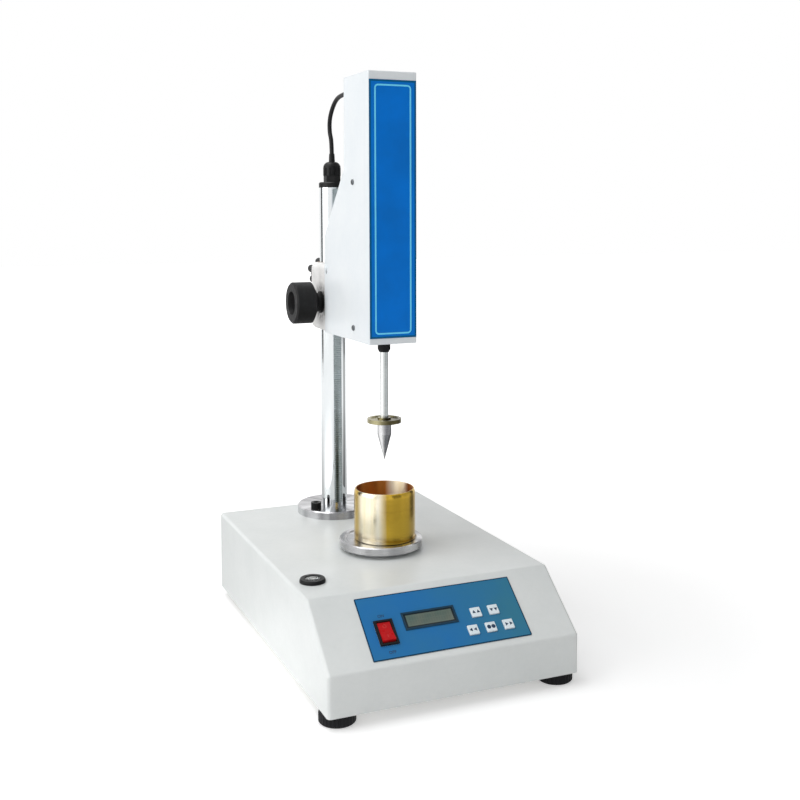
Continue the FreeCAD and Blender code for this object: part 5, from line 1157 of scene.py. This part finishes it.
@dataclass
class BubbleLevel:
    """Round spirit level let into the casing's top; what is sunk is measured down from its ring's top."""

    x: float = -0.088
    y: float = -0.0715
    ring_top: float = 0.0855
    radius: float = 0.0063
    window_sunk: float = 0.0004
    window_depth: float = 0.0008
    dome: tuple[Pair, ...] = ((0.0018, 0.00022), (0.002, 0.00012), (0.0015, 0.00004))
    well_sunk: float = 0.0014
    well_floor: float = 0.0755
    well_wall: float = 0.0008
    spirit_sunk: float = 0.0006
    mark_radius: float = 0.0031
    mark_line: float = 0.00045
    mark_sunk: float = 0.00195
    bubble_radius: float = 0.0024
    bubble_spot: Point = (0.0006, -0.0004, -0.00165)
    bubble_flatness: Pair = (0.16, 0.6)

    def window(self) -> Piece:
        """Turn the clear domed window.

        Returns:
            The window.
        """
        crown = self.ring_top - self.window_sunk
        middle = (self.x, self.y, crown - self.window_depth / 2)
        piece = cylinder("level_window", self.radius, self.window_depth, middle)
        with editing(piece, facing_up):
            for inset, lift in self.dome:
                bpy.ops.mesh.inset(thickness=inset)
                bpy.ops.transform.translate(value=(0.0, 0.0, lift))
        round_rim(piece, crown, 0.0002, 2)
        return settle(piece, smooth=60.0)

    def well(self) -> Piece:
        """Turn the cup of spirit under the window.

        Returns:
            The cup with its sunk face.
        """
        top = self.ring_top - self.well_sunk
        middle = (self.x, self.y, (top + self.well_floor) / 2)
        piece = cylinder("level_well", self.radius, top - self.well_floor, middle)
        with editing(piece, facing_up):
            bpy.ops.mesh.inset(thickness=self.well_wall)
            bpy.ops.mesh.extrude_region_move(TRANSFORM_OT_translate={"value": (0.0, 0.0, -self.spirit_sunk)})
        round_rim(piece, top, 0.00015, 2)
        return settle(piece)

    def mark(self) -> Piece:
        """Cut the ring that the bubble is centred in.

        Returns:
            The ring.
        """
        middle = (self.x, self.y, self.ring_top - self.mark_sunk)
        piece = cylinder("level_mark", self.mark_radius, INK_DEPTH, middle)
        open_ring(piece, self.mark_line)
        return settle(piece)

    def bubble(self) -> Piece:
        """Shape the bubble: a flat drop, flatter still above, under the window.

        Returns:
            The bubble.
        """
        spot = tuple(Vector((self.x, self.y, self.ring_top)) + Vector(self.bubble_spot))
        flat, above = self.bubble_flatness
        piece = start("level_bubble", bpy.ops.mesh.primitive_uv_sphere_add, (1.0, 1.0, flat), segments=32,
                      ring_count=16, radius=self.bubble_radius, location=spot)
        with editing(piece, lambda face, normal: face.z > spot[2]):
            bpy.ops.transform.resize(value=(1.0, 1.0, above), center_override=spot)
        return settle(piece, smooth=60.0)

    def build(self) -> None:
        """Build the level in its ring."""
        dress(Moulding("moulded black ABS ring", "#0C0C0D", rough=0.34, specular=0.2), "bubble_level_ring")
        spirit = Moulding("tinted spirit over a grey cup", "#45463F", "#5C5D56", 0.24, 0.3)
        air = Moulding("air bubble in spirit", "#8D9089", "#A2A59E", 0.04, 0.5)
        fit(self.well(), spirit, "base", "clear_glass", "bubble_level_vial")
        fit(self.mark(), Ink("black printed ring", "#101112"), "base", "clear_glass")
        fit(self.bubble(), air, "base", "clear_glass")
        fit(self.window(), Acrylic("clear cast acrylic", "#F4F7F5"), "base", "clear_glass")
        LOG.info("bubble level built")


class Sign(Enum):
    """Plain signs on the keys: corners of the sign, and its turn in radians."""

    UP = (3, 0.0)
    DOWN = (3, math.pi)
    LEFT = (3, math.pi / 2)
    RIGHT = (3, -math.pi / 2)
    DOT = (20, 0.0)


@dataclass
class ControlPanel:
    """Overlay with display, switch words and five keys; places are from the slope's middle and top bend."""

    place: Pair = (-0.0012, 0.0334)
    half: Pair = (0.0675, 0.027)
    display_place: Pair = (-0.0128, 0.0319)
    word_x: float = -0.0516
    words: tuple[tuple[str, float], ...] = (("ON", 0.0241), ("OFF", 0.0551))
    word_size: float = 0.0034
    word_lift: float = 0.00053
    key_face: float = 0.0016
    sign_radius: float = 0.0017
    sign_shift: float = 0.0019
    keys: tuple[tuple[int, float, float, Sign], ...] = (
        (1, 0.02665, 0.0337, Sign.UP),
        (2, 0.04215, 0.0337, Sign.DOWN),
        (3, 0.0189, 0.0482, Sign.LEFT),
        (4, 0.0344, 0.0482, Sign.DOT),
        (5, 0.0499, 0.0482, Sign.RIGHT),
    )

    def sign(self, name: str, kind: Sign) -> Piece:
        """Cut one sign, a doubled arrow or a doubled dot, flat about the origin.

        Args:
            name: Piece name.
            kind: Which sign.

        Returns:
            The sign, facing up.
        """
        corners, turn = kind.value
        add = bpy.ops.mesh.primitive_circle_add
        piece = start(name, add, vertices=corners, radius=self.sign_radius, fill_type="NGON")
        thicken(piece, INK_DEPTH)
        with editing(piece, facing_up):
            bpy.ops.mesh.inset(thickness=0.0001)
            bpy.ops.transform.translate(value=(0.0, 0.0, 0.00002))
        shifts = (-self.sign_shift, self.sign_shift)
        turned = Matrix.Rotation(turn, 4, "Z")
        return copies(piece, [Matrix.Translation((x, 0.0, 0.0)) @ turned for x in shifts], name)

    def word(self, name: str, text: str) -> Piece:
        """Set a switch word as thin print about the origin.

        Args:
            name: Piece name.
            text: ON or OFF.

        Returns:
            The word, facing up.
        """
        bpy.ops.object.select_all(action="DESELECT")
        bpy.ops.object.text_add()
        letters = bpy.context.object.data
        letters.body = text
        letters.size = self.word_size
        letters.align_x = "CENTER"
        letters.align_y = "CENTER"
        letters.extrude = 0.00003
        letters.offset = 0.00004
        bpy.ops.object.convert(target="MESH")
        piece = bpy.context.object
        piece.name = name
        return piece

    def build(self) -> None:
        """Dress the panel and build its signs and words."""
        middle = tuple(SLOPE.place(*self.place).translation)
        # The overlay's third colour is a dark painted shade line along its cut edge.
        dress(PrintedFilm("textured polyester overlay, steel blue", "#2973B2", "#3A7C97", "#173F58", middle,
                          SLOPE.lean, self.half, 0.0009, 0.7), "control_panel")
        dress(Moulding("moulded dark bezel", "#14384C", "#1F4A60", 0.34), "display_bezel")
        middle = tuple(SLOPE.place(*self.display_place).translation)
        dress(DisplayGlass("unlit liquid crystal display", "#586C64", middle, SLOPE.lean), "display_glass")
        dress(BOARD_GREEN, "panel_board")
        caps = Moulding("moulded white ABS key", "#E6F1F6", "#D3E2E9", 0.32, 0.2, 0.5)
        ink = Ink("dark blue pad print", "#12304F")
        for number, x, drop, kind in self.keys:
            dress(caps, f"key_{number}")
            mark = settle(self.sign(f"key_sign_{number}", kind), SLOPE.place(x, drop, self.key_face))
            fit(mark, ink, f"key_{number}", "white_plastic")
        for text, drop in self.words:
            word = self.word(f"switch_word_{text.lower()}", text)
            settle(word, SLOPE.place(self.word_x, drop, self.word_lift))
            fit(word, ink, "base", "panel_film")
        LOG.info("control panel, display, keys and their signs built")


@dataclass
class PowerSwitch:
    """Rocker switch with raised marks on its two halves."""

    pivot: Point = (-0.0516, -0.137046, 0.057108)
    tilt: float = math.radians(8.0)
    ridge: float = 0.003
    horn: float = 0.0036
    half: float = 0.0086
    mark_y: float = 0.0046
    mark_depth: float = 0.0002
    bar_size: Pair = (0.0007, 0.003)
    ring_radius: float = 0.0016
    ring_line: float = 0.0005

    def place(self, y: float) -> Matrix:
        """Give the place of a mark on the rocker's face.

        Args:
            y: Distance from the ridge, towards the upper end where positive.

        Returns:
            Matrix whose Z leaves the rocker's face.
        """
        slant = math.atan2(self.horn - self.ridge, self.half)
        lift = self.ridge + abs(y) * math.tan(slant)
        turned = Matrix.Rotation(SLOPE.lean - self.tilt, 4, "X")
        local = Matrix.Translation((0.0, y, lift)) @ Matrix.Rotation(math.copysign(slant, y), 4, "X")
        return Matrix.Translation(self.pivot) @ turned @ local

    def bar(self) -> Piece:
        """Shape the on mark, a short raised bar.

        Returns:
            The bar.
        """
        piece = block("rocker_mark_on", (*self.bar_size, self.mark_depth), (0.0, 0.0, self.mark_depth / 2))
        apply_modifier(piece, "BEVEL", width=0.00008, segments=2)
        return settle(piece, self.place(-self.mark_y))

    def ring(self) -> Piece:
        """Shape the off mark, a raised ring.

        Returns:
            The ring.
        """
        middle = (0.0, 0.0, self.mark_depth / 2)
        piece = cylinder("rocker_mark_off", self.ring_radius, self.mark_depth, middle, 32)
        open_ring(piece, self.ring_line)
        apply_modifier(piece, "BEVEL", width=0.00005, segments=1, limit_method="ANGLE")
        return settle(piece, self.place(self.mark_y))

    def build(self) -> None:
        """Dress the switch and build its marks."""
        dress(Moulding("moulded black switch body", "#0E0F12", rough=0.34), "power_switch_housing")
        red = Moulding("moulded red polycarbonate", "#BF1519", "#9E1116", 0.24, 0.15)
        dress(red, "power_switch_rocker")
        filling = Ink("faded filled mark", "#CC4642", "#BF1519", spots=Spots(0.0005, 3.0, 0.5))
        fit(self.bar(), filling, "power_rocker", "red_plastic")
        fit(self.ring(), filling, "power_rocker", "red_plastic")
        LOG.info("power switch built")


@dataclass
class CupAndTray:
    """Turned tray on the casing, and the brass sample cup on it."""

    tray_centre: Point = (-0.0037, -0.0098, 0.0)
    cup_centre: Point = (0.0, -0.0098, 0.0)
    low: float = 0.0918
    radius: float = 0.027
    height: float = 0.0443
    wall: float = 0.002
    floor: float = 0.0043
    corner: float = 0.001
    shoulder: float = 0.005
    drawn_in: float = 0.0012
    shoulder_turn: float = math.radians(72.0)
    shoulder_steps: int = 8

    def profile(self) -> list[Pair]:
        """List the cup's outline above its straight wall: up the shoulder, over the rim and down the bore.

        Returns:
            Radius and height above the cup's underside at each step.
        """
        top, bore, last = self.height, self.radius - self.wall, self.shoulder_turn
        made = []
        for step in range(1, self.shoulder_steps + 1):
            turn = last * step / self.shoulder_steps
            share = (1.0 - math.cos(turn)) / (1.0 - math.cos(last))
            rise = (self.shoulder - 0.0002) * math.sin(turn) / math.sin(last)
            made.append((self.radius - self.drawn_in * share, top - self.shoulder + rise))
        made += [
            (self.radius - self.drawn_in - 0.0001, top - 0.00005),
            (bore + 0.0005, top),
            (bore + 0.0002, top),
            (bore + 0.00005, top - 0.0001),
            (bore, top - 0.0003),
            (bore, self.floor + self.corner),
            (bore - 0.3 * self.corner, self.floor + 0.3 * self.corner),
            (bore - self.corner, self.floor),
        ]
        return made

    def cup(self) -> Piece:
        """Turn the cup: a straight wall with a soft shoulder, a thin rim and a clean bore.

        Returns:
            The cup.
        """
        x, y, _ = self.cup_centre
        radius, level = self.radius, self.height - self.shoulder
        piece = cylinder("brass_cup", radius, level, (x, y, self.low + level / 2), 96)
        with editing(piece, facing_up):
            for next_radius, next_level in self.profile():
                rise = {"value": (0.0, 0.0, next_level - level)}
                bpy.ops.mesh.extrude_region_move(TRANSFORM_OT_translate=rise)
                size, middle = next_radius / radius, (x, y, self.low + next_level)
                bpy.ops.transform.resize(value=(size, size, 1.0), center_override=middle)
                radius, level = next_radius, next_level
        round_rim(piece, self.low, self.corner, 3)
        return settle(piece, smooth=40.0)

    def build(self) -> None:
        """Dress the tray and build the cup."""
        # Nickel over turned steel: silvery rings, brighter on the rim, with light and dark painted glint
        # sectors round the axis.
        tray = Turned("turned steel tray, nickel plated", "#D6D6D7", "#87868A", self.tray_centre, rough=0.24,
                      pitch=0.0009, depth=0.00003, across=0.5, glint_sectors=9.0, phase=0.3)
        dress(tray, "cup_stage")
        # Free-cutting brass, turned, buffed and lacquered: tall soft streaks of light over a warm yellow,
        # partly painted, with a painted highlight band on the side facing the key lamp and painted shade on
        # the rest of the wall and in the bore.
        brass = CupBrass("turned and buffed brass, lacquered", "#EFE8D4", "#DFCF9E", self.cup_centre,
                         rough=0.17, pitch=0.0007, depth=0.00001, across=0.75, tarnish=0.6, stain=0.01,
                         streak=(1.0, 1.0, 12.0), painted_shade_at=(0.788, 0.616, 0.0), bore=0.0252, coat=0.3)
        fit(self.cup(), brass, "sample_cup", "cup_brass", "sample_cup")
        LOG.info("tray dressed and cup built")


# ----------------------------------------------------------------------------------------------------------
# Column, carriage and knobs
# ----------------------------------------------------------------------------------------------------------


@dataclass
class Column:
    """Chromed column on its flange, with its rack, cap and cable gland."""

    centre: Point = (0.0, 0.1221, 0.0)

    def build(self) -> None:
        """Dress the column."""
        dress(Chrome("bright chrome on steel tube", "#F3F6F7", "#DDE2E4"), "column_tube")
        # Cut rack, ground on its flanks: a dull grey band down the chrome, with a dark green painted
        # reflection on its lower half.
        dress(RackWithPaintedTint("ground steel rack, painted reflection", "#D9E2E5", "#C0CACA", 0.0007, (18.0, 1.0, 1.0),
                          0.4, 0.7), "column_rack")
        # The flange's darker second colour also falls in light and dark painted glint sectors round its axis.
        dress(Turned("turned steel flange, nickel plated", "#E2E2E4", "#8B8A8D", self.centre, rough=0.16,
                     pitch=0.0011, depth=0.00003, across=0.55, glint_sectors=12.0, phase=1.7), "column_flange")
        dress(BlackOxide("black-oxide steel, oiled", "#101012"), "flange_screws")
        nylon = Moulding("moulded black nylon, glossy", "#09090A", "#161617", 0.34)
        dress(nylon, "column_cap", "cable_gland_body", "cable_gland_nut")
        LOG.info("column dressed")


@dataclass
class Carriage:
    """Cast carriage with its bushes, pinion, knobs and caps."""

    knob_centre: Point = (0.0, 0.0981, 0.2928)
    lock_centre: Point = (0.0, 0.1221, 0.3183)
    column_centre: Point = (0.0, 0.1221, 0.0)

    def build(self) -> None:
        """Dress the carriage and what turns in it."""
        dress(CastPaint("brushed enamel on sand casting", "#EDECEB"), "carriage_block")
        bronze = Turned("sintered bronze", "#9A7748", "#7D5F3A", self.column_centre, rough=0.4, tarnish=0.8)
        dress(bronze, "carriage_bushes")
        dress(Turned("turned bright steel", "#BFC2C4", "#A3A7A9", self.knob_centre, Axis.X, 0.24),
              "pinion_shaft")
        dress(BLACK_NYLON, "lift_knob", "knob_collar", "pinion_cap")
        dress(MouldedOnSteel("black nylon star knob on its screw", "#0C0C0D", self.lock_centre, Axis.Y,
                             0.0035, -0.01), "lock_knob")
        LOG.info("carriage and knobs dressed")


# ----------------------------------------------------------------------------------------------------------
# Head and spindle
# ----------------------------------------------------------------------------------------------------------


@dataclass
class Head:
    """Folded head housing with its label, screws and inside."""

    half_width: float = 0.022
    label_face: float = -0.0314
    label_ends: Pair = (0.271, 0.4889)
    label_half: float = 0.0215
    line_ends: Pair = (0.2744, 0.4851)
    line_half: float = 0.0168
    line_width: float = 0.0014
    line_corner: float = 0.0035
    line_lift: float = 0.00002
    frame_screws: tuple[Pair, ...] = ((0.0065, 0.4043), (0.0065, 0.277))
    carriage_screws: tuple[Pair, ...] = ((0.078, 0.3258),)
    screw_radius: float = 0.0025
    screw_height: float = 0.0014
    screw_crown: float = 0.0009
    recess: Point = (0.0026, 0.0006, 0.0016)
    recess_turn: float = math.radians(17.0)

    def border(self) -> Piece:
        """Cut the label's rounded border line.

        Returns:
            The line, a thin closed frame.
        """
        low, high = self.line_ends
        piece = sheet("label_border", 2 * self.line_half, high - low)
        with editing(piece, kind="VERT"):
            bpy.ops.mesh.bevel(offset=self.line_corner, segments=8, affect="VERTICES")
        with editing(piece):
            bpy.ops.mesh.inset(thickness=self.line_width)
            bpy.ops.mesh.delete(type="FACE")
        thicken(piece, INK_DEPTH)
        middle = (0.0, self.label_face + self.line_lift, (low + high) / 2)
        return settle(piece, Matrix.Translation(middle) @ Matrix.Rotation(math.pi / 2, 4, "X"))

    def side_screws(self, name: str, spots: Sequence[Pair]) -> Piece:
        """Shape one cross-recess pan screw and repeat it on both sides of the head.

        Args:
            name: Name of the joined screws.
            spots: Y and Z of each screw.

        Returns:
            The screws as one piece.
        """
        height, (long, wide, deep) = self.screw_height, self.recess
        piece = cylinder(name, self.screw_radius, height, (0.0, 0.0, height / 2), 32)
        round_rim(piece, height, self.screw_crown, 4)
        for size in ((long, wide, deep), (wide, long, deep)):
            arm = block("cutter", size, (0.0, 0.0, height))
            with editing(arm, kind="VERT"):
                turned = {"orient_axis": "Z", "center_override": (0.0, 0.0, 0.0)}
                bpy.ops.transform.rotate(value=self.recess_turn, **turned)
            apply_modifier(piece, "BOOLEAN", operation="DIFFERENCE", object=arm, solver="EXACT")
            bpy.data.objects.remove(arm)
        places = []
        for side in (-1.0, 1.0):
            turn = Matrix.Rotation(side * math.pi / 2, 4, "Y")
            places += [Matrix.Translation((side * self.half_width, y, z)) @ turn for y, z in spots]
        return settle(copies(piece, places, name), smooth=40.0)

    def build(self) -> None:
        """Dress the head, and build its border line and screws."""
        dress(HEAD_WHITE, "head_housing", "head_back_cover", "head_bottom_plate")
        low, high = self.label_ends
        middle = (0.0, self.label_face, (low + high) / 2)
        # The label's third colour is a dark painted shade line along its cut edge.
        dress(PrintedFilm("glossy polyester label, deep blue", "#0278DC", "#0470CC", "#065C88", middle,
                          math.pi / 2, (self.label_half, (high - low) / 2), 0.0017), "head_label")
        fit(self.border(), Ink("pale blue screen print", "#74DEFF", "#4FC0F2"), "head", "label_film")
        dull = ZincPlate("dulled zinc plate on small screws", "#6E7275", "#5F6264")
        small = self.side_screws("frame_screws", self.frame_screws)
        fit(small, dull, "head", "zinc_steel", "head_side_screws")
        fit(self.side_screws("carriage_screws", self.carriage_screws), HEAD_WHITE, "head", "zinc_steel")
        dress(Rubber("vulcanised black rubber", "#0F1011"), "spindle_bush", "cable_grommet")
        dress(Ground("milled aluminium", "#C6C8C9", "#B2B5B7", 0.0008, (1.0, 1.0, 20.0), 0.36), "head_frame",
              "spindle_guide", "displacement_sensor")
        dress(Ground("annealed magnet iron", "#8C8F92", "#6F7275", 0.001, (1.0, 20.0, 1.0), 0.42),
              "electromagnet", "armature")
        dress(BOARD_GREEN, "head_board")
        LOG.info("head, border line and side screws built")


@dataclass
class Spindle:
    """Rod with its stop, scale, balance disc and cone, all with painted shade on the same side."""

    centre: Point = (0.0, -0.0098, 0.0)
    # Direction of the side where rod, disc and cone get painted shade.
    painted_shade_at: Point = (0.9, -0.43, 0.0)

    def build(self) -> None:
        """Dress the spindle."""
        rod = Turned("satin ground stainless rod", "#EDEFEE", "#AEB4B4", self.centre, rough=0.2, pitch=0.0005,
                     depth=0.000006, across=0.3, tarnish=0.3, painted_shade_at=self.painted_shade_at)
        dress(rod, "spindle_rod", "stop_collar", "sensor_scale")
        disc = Turned("turned brass, tarnished", "#ADA682", "#565036", self.centre, rough=0.24, pitch=0.0007,
                      depth=0.00002, across=0.5, tarnish=0.9, stain=0.006, painted_shade_at=self.painted_shade_at)
        dress(disc, "balance_disc")
        dress(Turned("ground stainless cone", "#E2E2E3", "#85868A", self.centre, rough=0.2, pitch=0.0005,
                     depth=0.00001, tarnish=0.9, stain=0.004, streak=(1.0, 1.0, 6.0), painted_shade_at=self.painted_shade_at),
              "cone")
        LOG.info("spindle dressed")


@dataclass
class HeadCable:
    """Flexible lead from the gland on the column, over the back, into the head."""

    diameter: float = 0.0042
    length: float = 0.1484
    route: tuple[Pair, ...] = (
        (0.1221, 0.4268),
        (0.1221, 0.4465),
        (0.1285, 0.4560),
        (0.1275, 0.4705),
        (0.1111, 0.4850),
        (0.0911, 0.4885),
        (0.0581, 0.4880),
        (0.0296, 0.4805),
    )

    def curve(self, bevel: float) -> Piece:
        """Draw the cable's line as a spline with the route's points as its controls.

        Args:
            bevel: Radius of the tube round the line, or zero.

        Returns:
            The curve object.
        """
        line = bpy.data.curves.new("head_cable_line", "CURVE")
        line.dimensions = "3D"
        line.resolution_u = 12
        line.bevel_depth = bevel
        line.bevel_resolution = 5
        line.use_fill_caps = True
        spline = line.splines.new("NURBS")
        spline.points.add(len(self.route) - 1)
        for point, (y, z) in zip(spline.points, self.route):
            point.co = (0.0, y, z, 1.0)
        spline.order_u = 3
        spline.use_endpoint_u = True
        return enter("head_cable_line", line)

    def build(self) -> None:
        bare = self.curve(0.0)
        mesh = bpy.data.meshes.new_from_object(bare)
        bpy.data.objects.remove(bare)
        hold(self.curve(self.diameter / 2))
        bpy.ops.object.convert(target="MESH")
        piece = bpy.context.object
        piece.name = "head_cable_sheath"
        settle(piece, smooth=60.0)
        piece.data.materials.clear()
        piece.data.materials.append(CableSheath("extruded black PVC sheath", "#0D0D0E").material())
        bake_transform(piece)
        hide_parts("head_cable")


# ----------------------------------------------------------------------------------------------------------
# Studio
# ----------------------------------------------------------------------------------------------------------


@dataclass(frozen=True)
class Card:
    """Grey board round the object: bearing in degrees, distance, size, height of its middle, and tone."""

    name: str
    bearing: float
    distance: float
    width: float
    middle: float
    height: float
    tone: float


@dataclass(frozen=True)
class Lamp:
    """Soft lamp: where it hangs, its power in watts, its size, and whether polished metal shows it."""

    name: str
    spot: Point
    power: float
    width: float
    height: float
    mirrored: bool = True


@dataclass
class Studio:
    """White sweep, soft lamps and the camera."""

    camera_spot: Point = (-0.36183, -0.89525, 0.37959)
    heading: float = math.radians(-23.07)
    pitch: float = math.radians(-4.64)
    roll: float = math.radians(-0.15)
    lens: float = 49.63
    shift_y: float = -0.125
    near_glow: float = 0.34
    bright_side: Point = (-0.99, -0.139, 0.0)
    dim_floor: float = 0.5
    bright_floor: float = 1.5
    rear_share: float = 0.25
    aim: Point = (0.0, 0.0, 0.2)
    card_aim: Point = (0.0, 0.0, 0.25)
    lamps: tuple[Lamp, ...] = (
        Lamp("key lamp", (-1.7, -0.05, 0.8), 12.7, 1.7, 1.5),
        Lamp("top lamp", (-0.5, 0.25, 1.6), 10.5, 1.0, 1.0),
        Lamp("front lamp", (-0.9, -1.7, 0.9), 7.2, 1.0, 0.8, False),
    )
    cards: tuple[Card, ...] = (
        Card("card_behind_camera", 252.0, 2.2, 0.9, 0.7, 1.6, 0.85),
        Card("card_front_right", 296.0, 1.9, 1.3, 0.7, 1.6, 0.3),
        Card("card_right", 337.0, 1.9, 1.3, 0.7, 1.6, 0.6),
        Card("card_rear_right", 12.0, 1.7, 0.75, 0.6, 1.4, 0.1),
        Card("card_rear_left", 137.0, 1.7, 0.62, 0.52, 1.16, 0.08),
        Card("card_above", 8.0, 0.75, 1.1, 1.7, 1.1, 0.1),
    )

    def camera(self) -> None:
        """Set up the camera."""
        data = bpy.data.cameras.new("camera")
        data.lens = self.lens
        data.sensor_width = 36.0
        data.shift_y = self.shift_y
        data.clip_start = 0.01
        made = enter("camera", data)
        turned = Matrix.Rotation(self.heading, 4, "Z") @ Matrix.Rotation(math.pi / 2 + self.pitch, 4, "X")
        made.matrix_world = Matrix.Translation(self.camera_spot) @ turned @ Matrix.Rotation(self.roll, 4, "Z")
        bpy.context.scene.camera = made

    def sweep(self) -> bpy.types.Material:
        """Mix white card, which keeps the shadow, with a glow for what looks at it straight or in a mirror.

        Returns:
            The floor's material.
        """
        made = bpy.data.materials.new("white studio sweep")
        draft = Draft(made)
        draft.finish("#F2F2F2", 0.9, Specular_IOR_Level=0.1)
        rays = draft.add("LightPath").outputs
        away = draft.vector("LENGTH", draft.coordinates)
        seen = draft.math("MAXIMUM", rays["Is Camera Ray"], rays["Is Transmission Ray"])
        strength = draft.math("MULTIPLY", seen, draft.span(away, self.near_glow, 1.0, 0.3, 1.2))
        glow = draft.add("Emission", {"Color": "#FFFFFF", "Strength": strength})
        both = draft.add("AddShader", {0: draft.shader.outputs[0], 1: glow.outputs[0]})
        # In a mirror the sweep is brighter on the key lamp's side near the object, and white further off.
        side = draft.vector("DOT_PRODUCT", draft.vector("NORMALIZE", draft.coordinates), self.bright_side)
        rear = draft.span(side, self.rear_share, 1.0, -0.995, -0.94)
        near = draft.math("MULTIPLY", draft.span(side, self.dim_floor, self.bright_floor, 0.45, 0.92), rear)
        far = draft.span(rear, 0.4, 1.08, self.rear_share, 1.0)
        mirrored = draft.add("Emission", {"Strength": draft.span(away, near, far, 0.45, 1.1)})
        final = draft.add("MixShader", {0: rays["Is Glossy Ray"], 1: both.outputs[0], 2: mirrored.outputs[0]})
        draft.fill(draft.tree.nodes["Material Output"], {"Surface": final.outputs[0]})
        return made

    def floor(self) -> None:
        """Lay the floor."""
        add = bpy.ops.mesh.primitive_plane_add
        made = start("studio_floor", add, size=14.0, location=(0.0, 0.0, -0.0002))
        made.data.materials.append(self.sweep())

    def card(self, board: Card) -> None:
        """Stand one grey card outside the view, which polished metal and glossy print mirror.

        Args:
            board: Place, size and tone of the card.
        """
        turn = math.radians(board.bearing)
        spot = Vector((board.distance * math.cos(turn), board.distance * math.sin(turn), board.middle))
        made = sheet(board.name, board.width, board.height)
        facing = (Vector(self.card_aim) - spot).to_track_quat("Z", "Y")
        made.matrix_world = Matrix.Translation(spot) @ facing.to_matrix().to_4x4()
        made.data.materials.append(self.card_material(board.tone))
        made.visible_camera = False
        made.visible_diffuse = False
        made.visible_shadow = False

    def card_material(self, tone: float) -> bpy.types.Material:
        """Colour a card an even grey that no lamp changes.

        Args:
            tone: Linear grey from zero to one.

        Returns:
            The card's material.
        """
        made = bpy.data.materials.new("matt grey studio card")
        Draft(made).finish("#000000", 0.5, Specular_IOR_Level=0.0, Emission_Strength=1.0,
                           Emission_Color=(tone, tone, tone * 1.03, 1.0))
        return made

    def hang(self, lamp: Lamp) -> None:
        """Hang one soft lamp.

        Args:
            lamp: Place, power and size of the lamp.
        """
        data = bpy.data.lights.new(lamp.name, "AREA")
        data.energy = lamp.power
        data.shape = "RECTANGLE"
        data.size = lamp.width
        data.size_y = lamp.height
        made = enter(lamp.name, data)
        facing = (Vector(self.aim) - Vector(lamp.spot)).to_track_quat("-Z", "Y")
        made.matrix_world = Matrix.Translation(lamp.spot) @ facing.to_matrix().to_4x4()
        made.visible_glossy = lamp.mirrored

    def world(self) -> None:
        """Fill the room with a plain soft light, white where it is looked at."""
        made = bpy.data.worlds.new("studio")
        bpy.context.scene.world = made
        draft = Draft(made, "Background")
        rays = draft.add("LightPath").outputs
        seen = draft.math("MAXIMUM", rays["Is Camera Ray"], rays["Is Glossy Ray"])
        seen = draft.math("MAXIMUM", seen, rays["Is Transmission Ray"])
        draft.fill(draft.shader, {"Color": "#FFFFFF", "Strength": draft.span(seen, 0.36, 1.0, 0.0, 1.0)})

    def build(self) -> None:
        """Set up camera, floor, world, cards and lamps."""
        self.camera()
        self.floor()
        self.world()
        for board in self.cards:
            self.card(board)
        for lamp in self.lamps:
            self.hang(lamp)
        bpy.context.scene.view_settings.view_transform = "Standard"
        LOG.info("studio set up")


def main() -> None:
    """Build the studio, the cable and every sub-assembly."""
    logging.basicConfig(level=logging.INFO, format="%(name)s: %(message)s")
    for part in (Studio(), HeadCable(), BaseCasing(), BubbleLevel(), ControlPanel(), PowerSwitch(),
                 CupAndTray(), Column(), Carriage(), Head(), Spindle()):
        part.build()


if __name__ == "__main__":
    main()
